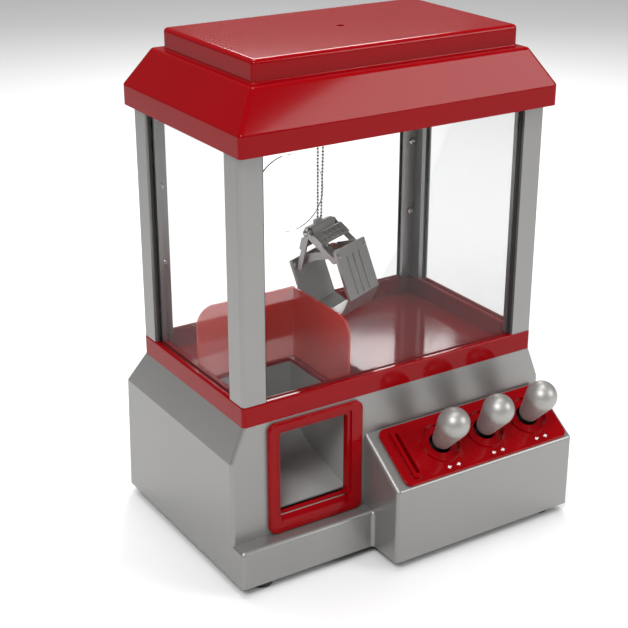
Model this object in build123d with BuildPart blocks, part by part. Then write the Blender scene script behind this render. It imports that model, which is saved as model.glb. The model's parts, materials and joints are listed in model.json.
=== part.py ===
"""Claw crane machine: a table-top sweet grabber, glazed cabinet on a console base.

Millimetres.  X runs to the right, Y to the back, Z up.  The origin is on the table,
under the middle of the whole machine, so its box is centred on the Z axis.
"""
import os
from math import atan2, cos, hypot, radians, sin, tan

from build123d import *

os.makedirs("parts", exist_ok=True)

# ---------------------------------------------------------------- driving dimensions
WIDTH = 224.0  # base, over its two sides
DEPTH = 174.0  # base, console front to back wall
HEIGHT = 306.0  # table to the top of the canopy
FOOT_H = 6.0
WALL = 2.4  # moulded shell thickness
EDGE_R = 2.5  # rounding of the shells' outer edges
GAP = 0.3  # assembly clearance between neighbours
SEAT = 0.02  # clearance of a rod pressed into its block
RUN_FIT = 0.06  # running fit of a rod in its slide

# Base housing
SHOULDER_Z = 82.0
DECK_Z = 103.0  # where the red deck sits on the silver base
SHOULDER_IN = 8.5  # how far the base narrows at each side above its shoulder
BACK_IN = 15.5  # how far the tower stands in front of the base's back
BACK_DRAFT = 4.0
CONSOLE_D = 35.0  # console depth in front of the door wall
CONSOLE_W = 133.5
CONSOLE_LIP_Z = 53.5
CONSOLE_TOP_Z = 77.0
PLINTH_D = 11.0
PLINTH_Z = 30.0
FOOT_R = 6.5
FOOT_IN = 14.0  # foot centres inside the base's sides
HEAD_R = 3.0  # bottom screw heads
HEAD_T = 1.6
CROSS_W = 0.8  # cross recess in a screw head

# Joysticks, measured square to the sloping panel
PANEL_T = 2.0
PANEL_W = 122.8
PANEL_L = 40.0
PANEL_MARGIN = 3.5  # red insert to the console's right side
PANEL_LAND = 4.0  # console top left under the edge of the panel
STICK_PITCH = 33.7
STICK_IN = 19.5  # right stick to the panel's right end
STICK_UP = 1.0  # stick axis above the middle of the slope
KNOB_R = 9.8
KNOB_H = 23.3  # knob centre above the slope
KNOB_FOOT = 3.0  # underside of the knob's neck above the slope
KNOB_NECK_R = 5.9
KNOB_CONE = 11.0  # where the neck's cone meets the ball, in degrees below its middle
STEM_R = 3.0
STEM_TOP = 12.0
STICK_DROP = 12.0  # pivot below the slope
STICK_BOSS_R = 4.5
STICK_BOSS_L = 7.0  # half of the boss round the axle
AXLE_R = 1.5
AXLE_L = 8.0  # half of the axle
BRACKET_T = 2.0
DISH_R = 13.5
DISH_HOLE_R = 7.0
DISH_RIM = 1.6

# Coin slot, chute and lever
COIN_IN = 9.8  # slot's middle inside the panel's left end
COIN_L = 34.0
COIN_W = 7.0
SLOT_W = 2.4
SLOT_L = 28.0
COIN_DEPTH = 22.0
COIN_WAY = 3.2  # width of the way down inside the chute
COIN_WALL = 1.5  # chute walls beyond the ends of the slot
LEVER_OUT = 6.2  # lever's pin beside the slot
LEVER_UP = 3.0  # lever's pin above the chute's foot
LEVER_PIN_R = 1.0
LEVER_HALF = 2.2  # half width of the lever, and radius of its boss
LEVER_T = 1.2

# Tower
DECK_H = 12.5  # red rim height
DECK_FLOOR = 1.0  # deck floor above the base's top edge
DECK_LIP = 1.4  # deck's lip down inside the base
RIM_SIDE = 8.0  # rim width at the sides
RIM_BACK = 5.5
RIM_FRONT = 6.0
GROOVE_D = 4.5  # depth of the pane grooves in the rim
POST_W = 15.0
POST_T = 3.0
PANE_T = 1.6
PANE_BACK = 0.2  # pane behind the post's inner face
PANE_TUCK = 2.6  # how far a pane reaches behind a post
GASKET_W = 1.5
GASKET_T = 1.2
CLAMP_T = 3.0
HOLE_R = 25.5  # filling hole in the rear window
HOLE_UP = 0.5156  # its middle, as a share of the posts' height
SCREW_R = 1.3
SCREW_HEAD_R = 2.6
SCREW_X = 10.9  # clamp screws inside the tower's sides
SCREW_UPS = (0.3287, 0.6609)  # their heights, as shares of the posts' height

# Canopy
CANOPY_H = 46.0
EAVES_H = 12.0
EAVES_GAP = 0.1  # inside of the eaves beyond the tower at the sides
EAVES_FRONT = 7.0
EAVES_BACK = 7.5
BROW_DROP = 12.5  # brow below the top of the canopy
BROW_IN = 14.0  # slope inset at the sides
BROW_IN_Y = 11.0
CAP_IN = 4.0
CAP_IN_FRONT = 6.0
CAP_IN_BACK = 8.0
CAP_HOLE_R = 2.4
BOSS_R = 3.5
BOSS_IN = 9.2  # canopy screws inside the tower's sides

# Prize chute, its door and its guard
CHUTE_X0 = -88.0
CHUTE_X1 = -32.5
CHUTE_D = 60.0
CHUTE_FRONT = 7.0  # chute mouth behind the door wall
CHUTE_T = 1.6
CHUTE_STRAIGHT = 16.0  # upright part of the slide below the deck
CHUTE_SWEEP = 30.0  # how far forward its curve runs
CHUTE_EASE = 9.0  # end of the curve above the door's foot
DOOR_X0 = -81.0
DOOR_X1 = -35.0
DOOR_Z0 = 42.5
DOOR_Z1 = 95.0
DOOR_R = 2.0  # corner of the doorway
BEZEL_T = 3.0
BEZEL_R = 5.0
BEZEL_STEP = 1.2  # step round the doorway, its depth and its width
BEZEL_STEP_W = 2.5
BEZEL_LEFT = 7.3
BEZEL_RIGHT = 10.5
BEZEL_TOP = 6.5
BEZEL_BOTTOM = 12.5
SILL_UP = 5.0  # foot of the sloping sill above the bezel's lower edge
GUARD_H = 46.0
GUARD_T = 1.6
GUARD_OUT = 3.0  # guard's side wall beside the chute mouth
GUARD_R = 12.0

# Crane
CEILING_T = 2.4
CEILING_IN = 0.4  # ceiling plate inside the tower
CRANE_X = -1.0  # claw hangs here at rest
CRANE_BACK = 41.5  # claw's chain in front of the tower's back
HATCH = (14.0, 78.0, 36.0, 20.0)  # hatch left, right, before and behind the chain
RAIL_R = 2.5
RAIL_UP = 6.0  # rail axis above the ceiling plate
RAIL_IN = 6.5  # rail axis inside the tower's front and back
BLOCK_T = 6.0  # end blocks of the rails
BLOCK_R = 4.5  # block round a rail's axis
BLOCK_LEFT = 36.0  # left blocks from the chain
BLOCK_RIGHT = 90.0  # right blocks from the chain
BRIDGE_W = 38.0
BRIDGE_END_D = 9.0
BRIDGE_UP = 1.0  # bridge above the ceiling plate
NUT_W = 12.0
SPAN_R = 2.0  # the bridge's own two rods
SPAN_UP = 14.0
SPAN_PITCH = 26.0
TROLLEY_W = 36.0
TROLLEY_D = 24.0
TROLLEY_DROP = 8.0  # trolley below and above its rods
TROLLEY_RISE = 6.0
LEAD_R = 1.5  # lead screws
SCREW_IN = 8.0  # bridge screw in front of the back rail
SPAN_SCREW_X = -8.5  # trolley screw beside the middle of the bridge
SPAN_SCREW_DROP = 5.0
MOTOR_W = 12.0  # the two lead-screw motors
BRIDGE_MOTOR_L = 23.0
TROLLEY_MOTOR_L = 6.0
TOP_MOTOR_W = 14.0  # the two motors on the trolley
TOP_MOTOR_L = 20.0
TOP_MOTOR_H = 11.0
DRUM_R = 3.2
DRUM_X0 = -6.0  # drum's ends beside the chain
DRUM_X1 = 9.0
DRUM_PIN_R = 1.2
DRUM_PIN_OUT = 2.8  # drum's left journal beyond its end
FLANGE_T = 1.0
FLANGE_RISE = 1.8
CHAIN_R = 0.9
CHAIN_XS = (-1.3, 1.2)  # the two chains where they leave the claw
CHAIN_SPREAD = 2.6  # the right chain leans out by this much at the drum
CHAIN_FOOT = 5.5  # foot of the chains above the claw's eye

# Claw, in its own tilted frame: origin at the chain's eye, Z up its axis
CLAW_ROOM = 60.0  # eye above the deck floor with the claw right down
HANG = 0.1545  # how far up it hangs at rest, as a share of the room left above that
CLAW_YAW = 24.6
CLAW_TILT = 20.8
JAW_W = 33.5
JAW_T = 1.8
JAW_OUT = 18.0  # jaw plate from the axis
JAW_TOP = -14.7
JAW_BEND = -46.5
JAW_TIP = -54.5
JAW_FLOOR = 1.5  # jaw's edge at the middle below its bend to the tip
JAW_SPLIT = 0.3  # each closed jaw from the middle
JAW_SLOPE = 7.5
JAW_RIB_X = 6.6
JAW_RIB_W = 1.4
JAW_RIB_H = 0.9
JAW_ARM_T = 1.4
JAW_ARM_X = {"near_jaw": 10.6, "far_jaw": 8.9}
HUB_Z = -16.0
HUB_PIN_R = 1.2
HUB_PIN_L = 12.1  # half of the hinge pin
PLUNGER_R = 1.6
YOKE_HALF = 12.2
YOKE_PIN_R = 1.0
YOKE_PIN_L = 16.4  # half of the yoke's pin
YOKE_PIN_Z = -0.4
LINK_OUT = 16.5
LINK_Z = -20.5
LINK_SHORT = 2.7  # link's end clear of the jaw
LINK_T = 1.6
LINK_R = 2.4  # link's eye
LINK_END_R = 1.9
LINK_HALF = 1.7  # half depth of a link's bar
LINK_X = {"near_link": 14.2, "far_link": 12.4}
SPRING_R = 3.1
SPRING_X = (2.7, 8.6)

# Batteries (three C cells) under the rear of the base
CELL_R = 13.1
CELL_L = 50.0
CELLS = 3
CELL_ROOM = 0.6  # room round each cell
CELL_TIP = 1.0
TRAY_X = 38.0
TRAY_BACK = 50.0  # tray's middle in front of the base's back
TRAY_T = 1.5
TRAY_MARGIN = 2.0  # plate left round the battery opening
DOOR_T = 2.0
DOOR_L = 58.0
RUNNER_T = 2.0
RUNNER_LIP = 2.5
RUNNER_H = 4.0
RIDGE_W = 1.2
RIDGE_PITCH = 3.0

# Circuit board, speaker and switch in the base
BOARD_X = 30.0
BOARD_BACK = 30.0  # board's middle behind the door wall
BOARD_W = 68.0
BOARD_L = 38.0
BOARD_T = 1.6
BOARD_Z = 18.0
BOARD_POST_R = 2.5
SPEAKER_X = 85.0
SPEAKER_BACK = 20.0  # speaker's middle behind the door wall
SPEAKER_R = 20.0
SPEAKER_RIM = 3.0
GRILLE_SLOTS = 5
SWITCH_X = 59.0
SWITCH_Z = 24.5
SWITCH_SLOT = (14.0, 5.0)
SWITCH_CAP = (7.0, 4.0)
SWITCH_PLATE = (14.0, 9.0)
SWITCH_LEFT = 2.5  # switch at rest, left of its slot's middle

# ---------------------------------------------------------------- places worked out
SLOPE = atan2(CONSOLE_TOP_Z - CONSOLE_LIP_Z, CONSOLE_D)
SLOPE_L = hypot(CONSOLE_TOP_Z - CONSOLE_LIP_Z, CONSOLE_D)
STICK_RUN = SLOPE_L / 2 + STICK_UP
OVERHANG = KNOB_R + KNOB_H * sin(SLOPE) - STICK_RUN * cos(SLOPE)
FRONT = -(DEPTH + OVERHANG) / 2 + OVERHANG
BACK = FRONT + DEPTH
FACE = FRONT + CONSOLE_D
REAR = BACK - BACK_IN
MIDDLE_Y = (FACE + REAR) / 2
SIDE = WIDTH / 2
TOWER = SIDE - SHOULDER_IN
CONSOLE_X = SIDE - CONSOLE_W
RIM_Z = DECK_Z + DECK_H
CANOPY_Z = HEIGHT - CANOPY_H
EAVES_OUT = EAVES_GAP + WALL
BROW_Z = HEIGHT - BROW_DROP
POST_H = CANOPY_Z - RIM_Z
HOLE_Z = RIM_Z + HOLE_UP * POST_H
SCREW_ZS = [RIM_Z + up * POST_H for up in SCREW_UPS]
FLOOR_Z = DECK_Z + DECK_FLOOR
PLATE_TOP = FOOT_H + WALL  # top of the bottom plate
CEILING_Z = CANOPY_Z + CEILING_T
DECK_TOP_Z = CEILING_Z + CEILING_T
RAIL_Z = DECK_TOP_Z + RAIL_UP
SPAN_Z = DECK_TOP_Z + SPAN_UP
RAIL_FRONT = FACE + RAIL_IN
RAIL_BACK = REAR - RAIL_IN
SCREW_Y = RAIL_BACK - SCREW_IN
CRANE_Y = REAR - CRANE_BACK
EYE_Z = FLOOR_Z + CLAW_ROOM + HANG * (CEILING_Z - FLOOR_Z - CLAW_ROOM)

PANEL_X = SIDE - PANEL_MARGIN - PANEL_W / 2
panel = Plane(
    origin=(PANEL_X, (FRONT + FACE) / 2, (CONSOLE_LIP_Z + CONSOLE_TOP_Z) / 2),
    x_dir=(1, 0, 0),
    z_dir=(0, -sin(SLOPE), cos(SLOPE)),
)
STICK_X = PANEL_W / 2 - STICK_IN - STICK_PITCH  # middle stick along the panel
stick_xs = {"left": STICK_X - STICK_PITCH, "middle": STICK_X, "right": STICK_X + STICK_PITCH}
yaw = radians(CLAW_YAW)
tilt = radians(CLAW_TILT)
claw = Plane(
    origin=(CRANE_X, CRANE_Y, EYE_Z),
    x_dir=(cos(yaw), sin(yaw), 0),
    z_dir=(-sin(yaw) * sin(tilt), cos(yaw) * sin(tilt), cos(tilt)),
)


# ---------------------------------------------------------------- helpers
def finish(piece, name):
    """Label a finished piece and write it out."""
    piece.part.label = name
    export_step(piece.part, f"parts/{name}.step")


def slab(x, y, z, radius=0.0, mode=Mode.ADD, plane=Plane.XY):
    """A block over the ranges x, y and z of a plane, its upright corners rounded."""
    with BuildSketch(plane.offset(z[0])) as outline:
        with Locations(((x[0] + x[1]) / 2, (y[0] + y[1]) / 2)):
            if radius:
                RectangleRounded(x[1] - x[0], y[1] - y[0], radius)
            else:
                Rectangle(x[1] - x[0], y[1] - y[0])
    extrude(outline.sketch, amount=z[1] - z[0], mode=mode)


def span(middle, length):
    """The range of a length centred on a middle."""
    return (middle - length / 2, middle + length / 2)


def rod(plane, places, radius, z, mode=Mode.ADD):
    """Round rods square to a plane, at each place on it, over the range z."""
    with BuildSketch(plane.offset(z[0])) as ends:
        with Locations(*places):
            Circle(radius)
    extrude(ends.sketch, amount=z[1] - z[0], mode=mode)


def prism(plane, points, length, mode=Mode.ADD):
    """A straight prism on a closed outline."""
    with BuildSketch(plane) as outline:
        with BuildLine():
            Polyline(*points, close=True)
        make_face()
    extrude(outline.sketch, amount=length, mode=mode)


def frustum(levels, mode=Mode.ADD):
    """Rectangles (x0, x1, y0, y1, z) joined by straight sides."""
    sections = []
    for x0, x1, y0, y1, z in levels:
        with BuildSketch(Plane.XY.offset(z)) as section:
            with Locations(((x0 + x1) / 2, (y0 + y1) / 2)):
                Rectangle(x1 - x0, y1 - y0)
        sections.append(section.sketch)
    loft(sections, ruled=True, mode=mode)


def corners():
    """The four corners of the tower: name, side of x, side of y, outer x and outer y."""
    for name, sx, sy in (
        ("front_left", -1, -1),
        ("front_right", 1, -1),
        ("rear_left", -1, 1),
        ("rear_right", 1, 1),
    ):
        yield name, sx, sy, sx * TOWER, FACE if sy < 0 else REAR


# ---------------------------------------------------------------- base housing
def base_form(inset, mode):
    """The base's outer form, or with an inset its hollow."""
    over = 0.1 if inset else 0  # the hollow is cut clean through both ends
    low = FOOT_H - over
    high = DECK_Z + over
    side = SIDE - inset
    tower = TOWER - inset
    frustum(
        (
            (-side, side, FACE + inset, BACK - inset, low),
            (-side, side, FACE + inset, BACK - BACK_DRAFT - inset, SHOULDER_Z),
            (-tower, tower, FACE + inset, REAR - inset, high),
        ),
        mode,
    )
    console_x = CONSOLE_X + inset
    outline = (
        (FRONT + inset, low),
        (FRONT + inset, CONSOLE_LIP_Z - inset * tan(SLOPE / 2)),
        (FACE + inset + 1, CONSOLE_TOP_Z + tan(SLOPE) * (1 + inset) - inset / cos(SLOPE)),
        (FACE + inset + 1, low),
    )
    prism(Plane.YZ.offset(console_x), outline, SIDE - inset - console_x, mode)
    plinth_y = (FACE - PLINTH_D + inset, FACE + 1 + inset)
    slab((-side, console_x + 1), plinth_y, (low, PLINTH_Z - inset), 0, mode)


def outer_edge_of_base(edge):
    """True for the convex edges between the base's foot and its top."""
    middle = edge.center()
    if middle.Z < FOOT_H + 0.1 or middle.Z > DECK_Z - 0.1:
        return False
    if abs(middle.Y - FACE) < 0.1:
        return abs(middle.X) > TOWER - 0.1 and middle.Z > PLINTH_Z
    at_step = abs(middle.X - CONSOLE_X) < 0.1 and middle.Z < PLINTH_Z + 0.1
    return not (at_step and FACE - PLINTH_D < middle.Y < FACE)


with BuildPart() as base_housing:
    base_form(0, Mode.ADD)
    fillet(base_housing.edges().filter_by(outer_edge_of_base), EDGE_R)
    base_form(WALL, Mode.SUBTRACT)
    # doorway for the prize bezel's sleeve
    slab(
        (DOOR_X0 - CHUTE_T, DOOR_X1 + CHUTE_T),
        (DOOR_Z0 - CHUTE_T, DOOR_Z1 + CHUTE_T),
        (-FACE - WALL - 1, -FACE + 1),
        DOOR_R,
        Mode.SUBTRACT,
        Plane.XZ,
    )
    # window under the red panel
    slab(
        span(0, PANEL_W - 2 * PANEL_LAND),
        span(0, PANEL_L - 2 * PANEL_LAND),
        (-2 * WALL, 1),
        DISH_RIM,
        Mode.SUBTRACT,
        panel,
    )
    # slot for the power switch in the back wall
    switch_cut = (-BACK - 1, -BACK + 2 * BACK_DRAFT)
    slab(
        span(SWITCH_X, SWITCH_SLOT[0]),
        span(SWITCH_Z, SWITCH_SLOT[1]),
        switch_cut,
        0,
        Mode.SUBTRACT,
        Plane.XZ,
    )
finish(base_housing, "base_housing")

TRAY_W = CELLS * 2 * (CELL_R + CELL_ROOM) + 2
TRAY_Y = BACK - TRAY_BACK
TRAY_L = CELL_L + 6
board_posts = [
    (BOARD_X + sx * (BOARD_W / 2 - 4), FACE + BOARD_BACK + sy * (BOARD_L / 2 - 4))
    for sx in (-1, 1)
    for sy in (-1, 1)
]
with BuildPart() as bottom_plate:
    inner = WALL + GAP
    plate_z = (FOOT_H, PLATE_TOP)
    slab((-SIDE + inner, SIDE - inner), (FACE - 1, BACK - inner), plate_z)
    slab((CONSOLE_X + inner, SIDE - inner), (FRONT + inner, FACE + inner), plate_z)
    slab((-SIDE + inner, CONSOLE_X + inner + 1), (FACE - PLINTH_D + inner, FACE + inner), plate_z)
    slab(
        span(TRAY_X, TRAY_W - 4 * TRAY_MARGIN),
        span(TRAY_Y, TRAY_L - 2 * TRAY_MARGIN),
        (FOOT_H - 1, PLATE_TOP + 1),
        0,
        Mode.SUBTRACT,
    )
    # grooved runners that the battery door slides in
    runner_y = span(TRAY_Y, DOOR_L + 2)
    for side in (-1, 1):
        edge = TRAY_X + side * (TRAY_W / 2 + GAP)
        outer = edge + side * RUNNER_T
        lip = edge - side * RUNNER_LIP
        slab(sorted((edge, outer)), runner_y, (FOOT_H - RUNNER_H, FOOT_H))
        slab(sorted((lip, outer)), runner_y, (FOOT_H - RUNNER_H, FOOT_H - 2 * GAP - DOOR_T))
    rod(Plane.XY, board_posts, BOARD_POST_R, (PLATE_TOP, BOARD_Z))
    # speaker grille
    with BuildSketch(Plane.XY.offset(FOOT_H - 1)) as grille:
        with Locations((SPEAKER_X, FACE + SPEAKER_BACK)):
            with GridLocations(0, SPEAKER_R / 4, 1, GRILLE_SLOTS):
                SlotOverall(SPEAKER_R * 1.3, SPEAKER_R / 10)
    extrude(grille.sketch, amount=WALL + 2, mode=Mode.SUBTRACT)
finish(bottom_plate, "bottom_plate")

with BuildPart() as battery_door:
    door_z = (FOOT_H - GAP - DOOR_T, FOOT_H - GAP)
    slab(span(TRAY_X, TRAY_W), span(TRAY_Y, DOOR_L), door_z, 1.0)
    # finger ridges
    for step in range(4):
        ridge_y = TRAY_Y + DOOR_L / 4 + RIDGE_PITCH * step
        slab(span(TRAY_X, DOOR_L / 2), span(ridge_y, RIDGE_W), (FOOT_H - DOOR_T - 1, door_z[1]))
finish(battery_door, "battery_door")

TRAY_TOP = PLATE_TOP + 2 * CELL_R + 2 * TRAY_T
with BuildPart() as battery_tray:
    slab(span(TRAY_X, TRAY_W), span(TRAY_Y, TRAY_L), (PLATE_TOP, TRAY_TOP))
    slab(
        span(TRAY_X, TRAY_W - 2),
        span(TRAY_Y, TRAY_L - 2 * TRAY_T),
        (PLATE_TOP - 1, TRAY_TOP - TRAY_T),
        0,
        Mode.SUBTRACT,
    )
finish(battery_tray, "battery_tray")

CELL_Z = PLATE_TOP + CELL_R + 0.8
cell_xs = [TRAY_X + (k - (CELLS - 1) / 2) * 2 * (CELL_R + CELL_ROOM) for k in range(CELLS)]
with BuildPart() as batteries:
    can = span(-TRAY_Y, CELL_L - 2 * CELL_TIP)
    for k, x in enumerate(cell_xs):
        rod(Plane.XZ, ((x, CELL_Z),), CELL_R, can)
        tip = (can[1], can[1] + CELL_TIP) if k % 2 else (can[0] - CELL_TIP, can[0])
        rod(Plane.XZ, ((x, CELL_Z),), CELL_R / 3, tip)
finish(batteries, "batteries")

foot_places = (
    (-SIDE + FOOT_IN + 4, FACE - 1),
    (SIDE - FOOT_IN, FRONT + 12),
    (-SIDE + FOOT_IN + 4, BACK - FOOT_IN - 2),
    (SIDE - FOOT_IN, BACK - FOOT_IN - 2),
)
with BuildPart() as rubber_feet:
    rod(Plane.XY, foot_places, FOOT_R, (0, FOOT_H))
    fillet(rubber_feet.edges().group_by(Axis.Z)[0], 1.0)
finish(rubber_feet, "rubber_feet")

screw_places = (
    (-SIDE + 40, FACE + 6),
    (-8, BACK - 10),
    (SIDE - 40, FRONT + 10),
    (-SIDE + 40, BACK - 10),
)
with BuildPart() as bottom_screws:
    rod(Plane.XY, screw_places, HEAD_R, (FOOT_H - HEAD_T, FOOT_H))
    with BuildSketch(Plane.XY.offset(FOOT_H - HEAD_T - 0.1)) as cross:
        with Locations(*screw_places):
            Rectangle(HEAD_R + 0.4, CROSS_W)
            Rectangle(CROSS_W, HEAD_R + 0.4)
    extrude(cross.sketch, amount=1.0, mode=Mode.SUBTRACT)
finish(bottom_screws, "bottom_screws")

BOARD_TOP = BOARD_Z + BOARD_T
board_y = FACE + BOARD_BACK
with BuildPart() as circuit_board:
    slab(span(BOARD_X, BOARD_W), span(board_y, BOARD_L), (BOARD_Z, BOARD_TOP), BOARD_T)
    # controller, connector row and two capacitors
    slab(span(BOARD_X - 13, 14), span(board_y - 2, 12), (BOARD_TOP, BOARD_TOP + 2.4))
    slab(span(BOARD_X + 13, 18), span(board_y - 10, 8), (BOARD_TOP, BOARD_TOP + 6.4))
    capacitors = ((BOARD_X + 8, board_y + 10), (BOARD_X + 18, board_y + 10))
    rod(Plane.XY, capacitors, 3.2, (BOARD_TOP, BOARD_TOP + 9.4))
finish(circuit_board, "circuit_board")

with BuildPart() as speaker:
    place = ((SPEAKER_X, FACE + SPEAKER_BACK),)
    rim_z = PLATE_TOP + SPEAKER_RIM
    rod(Plane.XY, place, SPEAKER_R, (PLATE_TOP, rim_z))
    rod(Plane.XY, place, SPEAKER_R - 4, (PLATE_TOP - 0.01, rim_z - 1.5), Mode.SUBTRACT)
    rod(Plane.XY, place, SPEAKER_R / 2 + 1, (rim_z, rim_z + 9))
finish(speaker, "speaker")

SWITCH_BACK = BACK - BACK_DRAFT * (SWITCH_Z - FOOT_H) / (SHOULDER_Z - FOOT_H)
with BuildPart() as power_switch:
    stem_z = -SWITCH_BACK + WALL + 1
    slab(
        span(SWITCH_X - SWITCH_LEFT, SWITCH_CAP[0]),
        span(SWITCH_Z, SWITCH_CAP[1]),
        (-SWITCH_BACK - 0.7, stem_z),
        plane=Plane.XZ,
    )
    slab(
        span(SWITCH_X - SWITCH_LEFT + 0.5, SWITCH_PLATE[0]),
        span(SWITCH_Z, SWITCH_PLATE[1]),
        (stem_z, stem_z + 1.5),
        plane=Plane.XZ,
    )
finish(power_switch, "power_switch")

# ---------------------------------------------------------------- deck, chute and door
PANE_OUT = POST_T + PANE_BACK  # pane's outer face inside the tower's outer face
GROOVE = PANE_T + 2 * GAP
GROOVE_Z = RIM_Z - GROOVE_D
GROOVE_END = POST_W - 5  # grooves stop this far inside the tower's corners
CHUTE_Y = (FACE + CHUTE_FRONT, FACE + CHUTE_FRONT + CHUTE_D)
with BuildPart() as deck_tray:
    slab((-TOWER, TOWER), (FACE, REAR), (DECK_Z, RIM_Z), EDGE_R)
    fillet(deck_tray.edges().group_by(Axis.Z)[-1], EDGE_R / 2)
    slab(
        (-TOWER + WALL + GAP, TOWER - WALL - GAP),
        (FACE + WALL + GAP, REAR - WALL - GAP),
        (DECK_Z - DECK_LIP, DECK_Z + 1),
        GAP,
    )
    slab(
        (-TOWER + RIM_SIDE, TOWER - RIM_SIDE),
        (FACE + RIM_FRONT, REAR - RIM_BACK),
        (FLOOR_Z, RIM_Z + 1),
        DOOR_R,
        Mode.SUBTRACT,
    )
    slab((CHUTE_X0, CHUTE_X1), CHUTE_Y, (DECK_Z - 2, FLOOR_Z + 1), DOOR_R, Mode.SUBTRACT)
    # grooves that the four panes stand in
    groove_z = (GROOVE_Z, RIM_Z + 1)
    for side in (-1, 1):
        near = side * (TOWER - PANE_OUT + GAP)
        groove_x = sorted((near, near - side * GROOVE))
        slab(groove_x, (FACE + GROOVE_END, REAR - GROOVE_END), groove_z, 0, Mode.SUBTRACT)
    for near in (FACE + PANE_OUT - GAP, REAR - PANE_OUT + GAP - GROOVE):
        groove_x = (-TOWER + GROOVE_END, TOWER - GROOVE_END)
        slab(groove_x, (near, near + GROOVE), groove_z, 0, Mode.SUBTRACT)
finish(deck_tray, "deck_tray")

CHUTE_TOP = DECK_Z - DECK_LIP - GAP
CHUTE_FOOT = (FACE + WALL + GAP + 1.5, DOOR_Z0 + 0.5)


def slide_line():
    """The slide's line from the back of its mouth down to the door."""
    knee = (CHUTE_Y[1], CHUTE_TOP - CHUTE_STRAIGHT)
    Line((CHUTE_Y[1], CHUTE_TOP), knee)
    sweep_end = (CHUTE_Y[1] - CHUTE_SWEEP, DOOR_Z0 + CHUTE_EASE)
    TangentArc(knee, sweep_end, tangent=(0, -1))
    Line(sweep_end, CHUTE_FOOT)


with BuildPart() as prize_chute:
    with BuildSketch(Plane.YZ.offset(CHUTE_X0 - CHUTE_T)) as slide:
        with BuildLine():
            slide_line()
        trace(line_width=CHUTE_T)
    extrude(slide.sketch, amount=CHUTE_X1 - CHUTE_X0 + 2 * CHUTE_T)
    # side walls
    for x in (CHUTE_X0 - CHUTE_T, CHUTE_X1):
        with BuildSketch(Plane.YZ.offset(x)) as cheek:
            with BuildLine():
                slide_line()
                Polyline(CHUTE_FOOT, (CHUTE_FOOT[0], CHUTE_TOP), (CHUTE_Y[1], CHUTE_TOP))
            make_face()
        extrude(cheek.sketch, amount=CHUTE_T)
finish(prize_chute, "prize_chute")

with BuildPart() as prize_bezel:
    slab(
        (DOOR_X0 - BEZEL_LEFT, DOOR_X1 + BEZEL_RIGHT),
        (DOOR_Z0 - BEZEL_BOTTOM, DOOR_Z1 + BEZEL_TOP),
        (-FACE, -FACE + BEZEL_T),
        BEZEL_R,
        plane=Plane.XZ,
    )
    fillet(prize_bezel.edges().group_by(Axis.Y)[0], EDGE_R / 2)
    sleeve = CHUTE_T - GAP / 2
    slab(
        (DOOR_X0 - sleeve, DOOR_X1 + sleeve),
        (DOOR_Z0 - sleeve, DOOR_Z1 + sleeve),
        (-FACE - WALL, -FACE + 1),
        DOOR_R,
        plane=Plane.XZ,
    )
    slab(
        (DOOR_X0, DOOR_X1),
        (DOOR_Z0, DOOR_Z1),
        (-FACE - WALL - 1, -FACE + BEZEL_T + 1),
        DOOR_R,
        Mode.SUBTRACT,
        Plane.XZ,
    )
    slab(
        (DOOR_X0 - BEZEL_STEP_W, DOOR_X1 + BEZEL_STEP_W),
        (DOOR_Z0 - 1, DOOR_Z1 + BEZEL_STEP_W),
        (-FACE + BEZEL_T - BEZEL_STEP, -FACE + BEZEL_T + 1),
        DOOR_R,
        Mode.SUBTRACT,
        Plane.XZ,
    )
    # the sill slopes down towards the player
    sill_z = DOOR_Z0 - BEZEL_BOTTOM + SILL_UP
    sill = (
        (FACE - BEZEL_T - 1, sill_z),
        (FACE - BEZEL_T, sill_z),
        (FACE + WALL / 2, DOOR_Z0 + 0.01),
        (FACE - BEZEL_T - 1, DOOR_Z0 + 0.01),
    )
    prism(Plane.YZ.offset(DOOR_X0), sill, DOOR_X1 - DOOR_X0, Mode.SUBTRACT)
finish(prize_bezel, "prize_bezel")

GUARD_Y = CHUTE_Y[1] + GAP
GUARD_X = CHUTE_X1 + GUARD_OUT
GUARD_Z = (FLOOR_Z, FLOOR_Z + GUARD_H)
with BuildPart() as chute_guard:
    slab((-TOWER + RIM_SIDE + GAP, GUARD_X + GUARD_T), (GUARD_Y, GUARD_Y + GUARD_T), GUARD_Z)
    fillet(chute_guard.edges().filter_by(Axis.Y).group_by(Axis.Z)[-1].sort_by(Axis.X)[:1], GUARD_R)
    slab((GUARD_X, GUARD_X + GUARD_T), (FACE + RIM_FRONT + GAP, GUARD_Y + GUARD_T), GUARD_Z)
    fillet(chute_guard.edges().filter_by(Axis.X).group_by(Axis.Z)[-1].sort_by(Axis.Y)[:1], GUARD_R)
finish(chute_guard, "chute_guard")

# ---------------------------------------------------------------- control panel
COIN_X = -PANEL_W / 2 + COIN_IN
stick_places = [(x, STICK_UP) for x in stick_xs.values()]
with BuildPart() as control_panel:
    slab(span(0, PANEL_W), span(0, PANEL_L), (0, PANEL_T), 2 * EDGE_R, plane=panel)
    fillet(control_panel.edges().group_by(SortBy.LENGTH)[-1], EDGE_R / 4)
    slab(span(COIN_X, COIN_W), span(0, COIN_L), (0.5, PANEL_T + 2), 3.0, plane=panel)
    rod(panel, stick_places, DISH_R, (0.5, PANEL_T + 1.2))
    rod(panel, stick_places, DISH_R - DISH_RIM, (PANEL_T - 0.8, PANEL_T + 2), Mode.SUBTRACT)
    rod(panel, stick_places, DISH_HOLE_R, (-1, PANEL_T + 2), Mode.SUBTRACT)
    slab(span(COIN_X, SLOT_W), span(0, SLOT_L), (-1, PANEL_T + 3), 1.1, Mode.SUBTRACT, panel)
finish(control_panel, "control_panel")


def cross_pin(x, y, z):
    """A plane across the panel, square to its slope, at a place on the panel."""
    return Plane(
        origin=panel.from_local_coords((x, y, z)),
        x_dir=(1, 0, 0),
        z_dir=(0, cos(SLOPE), sin(SLOPE)),
    )


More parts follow.
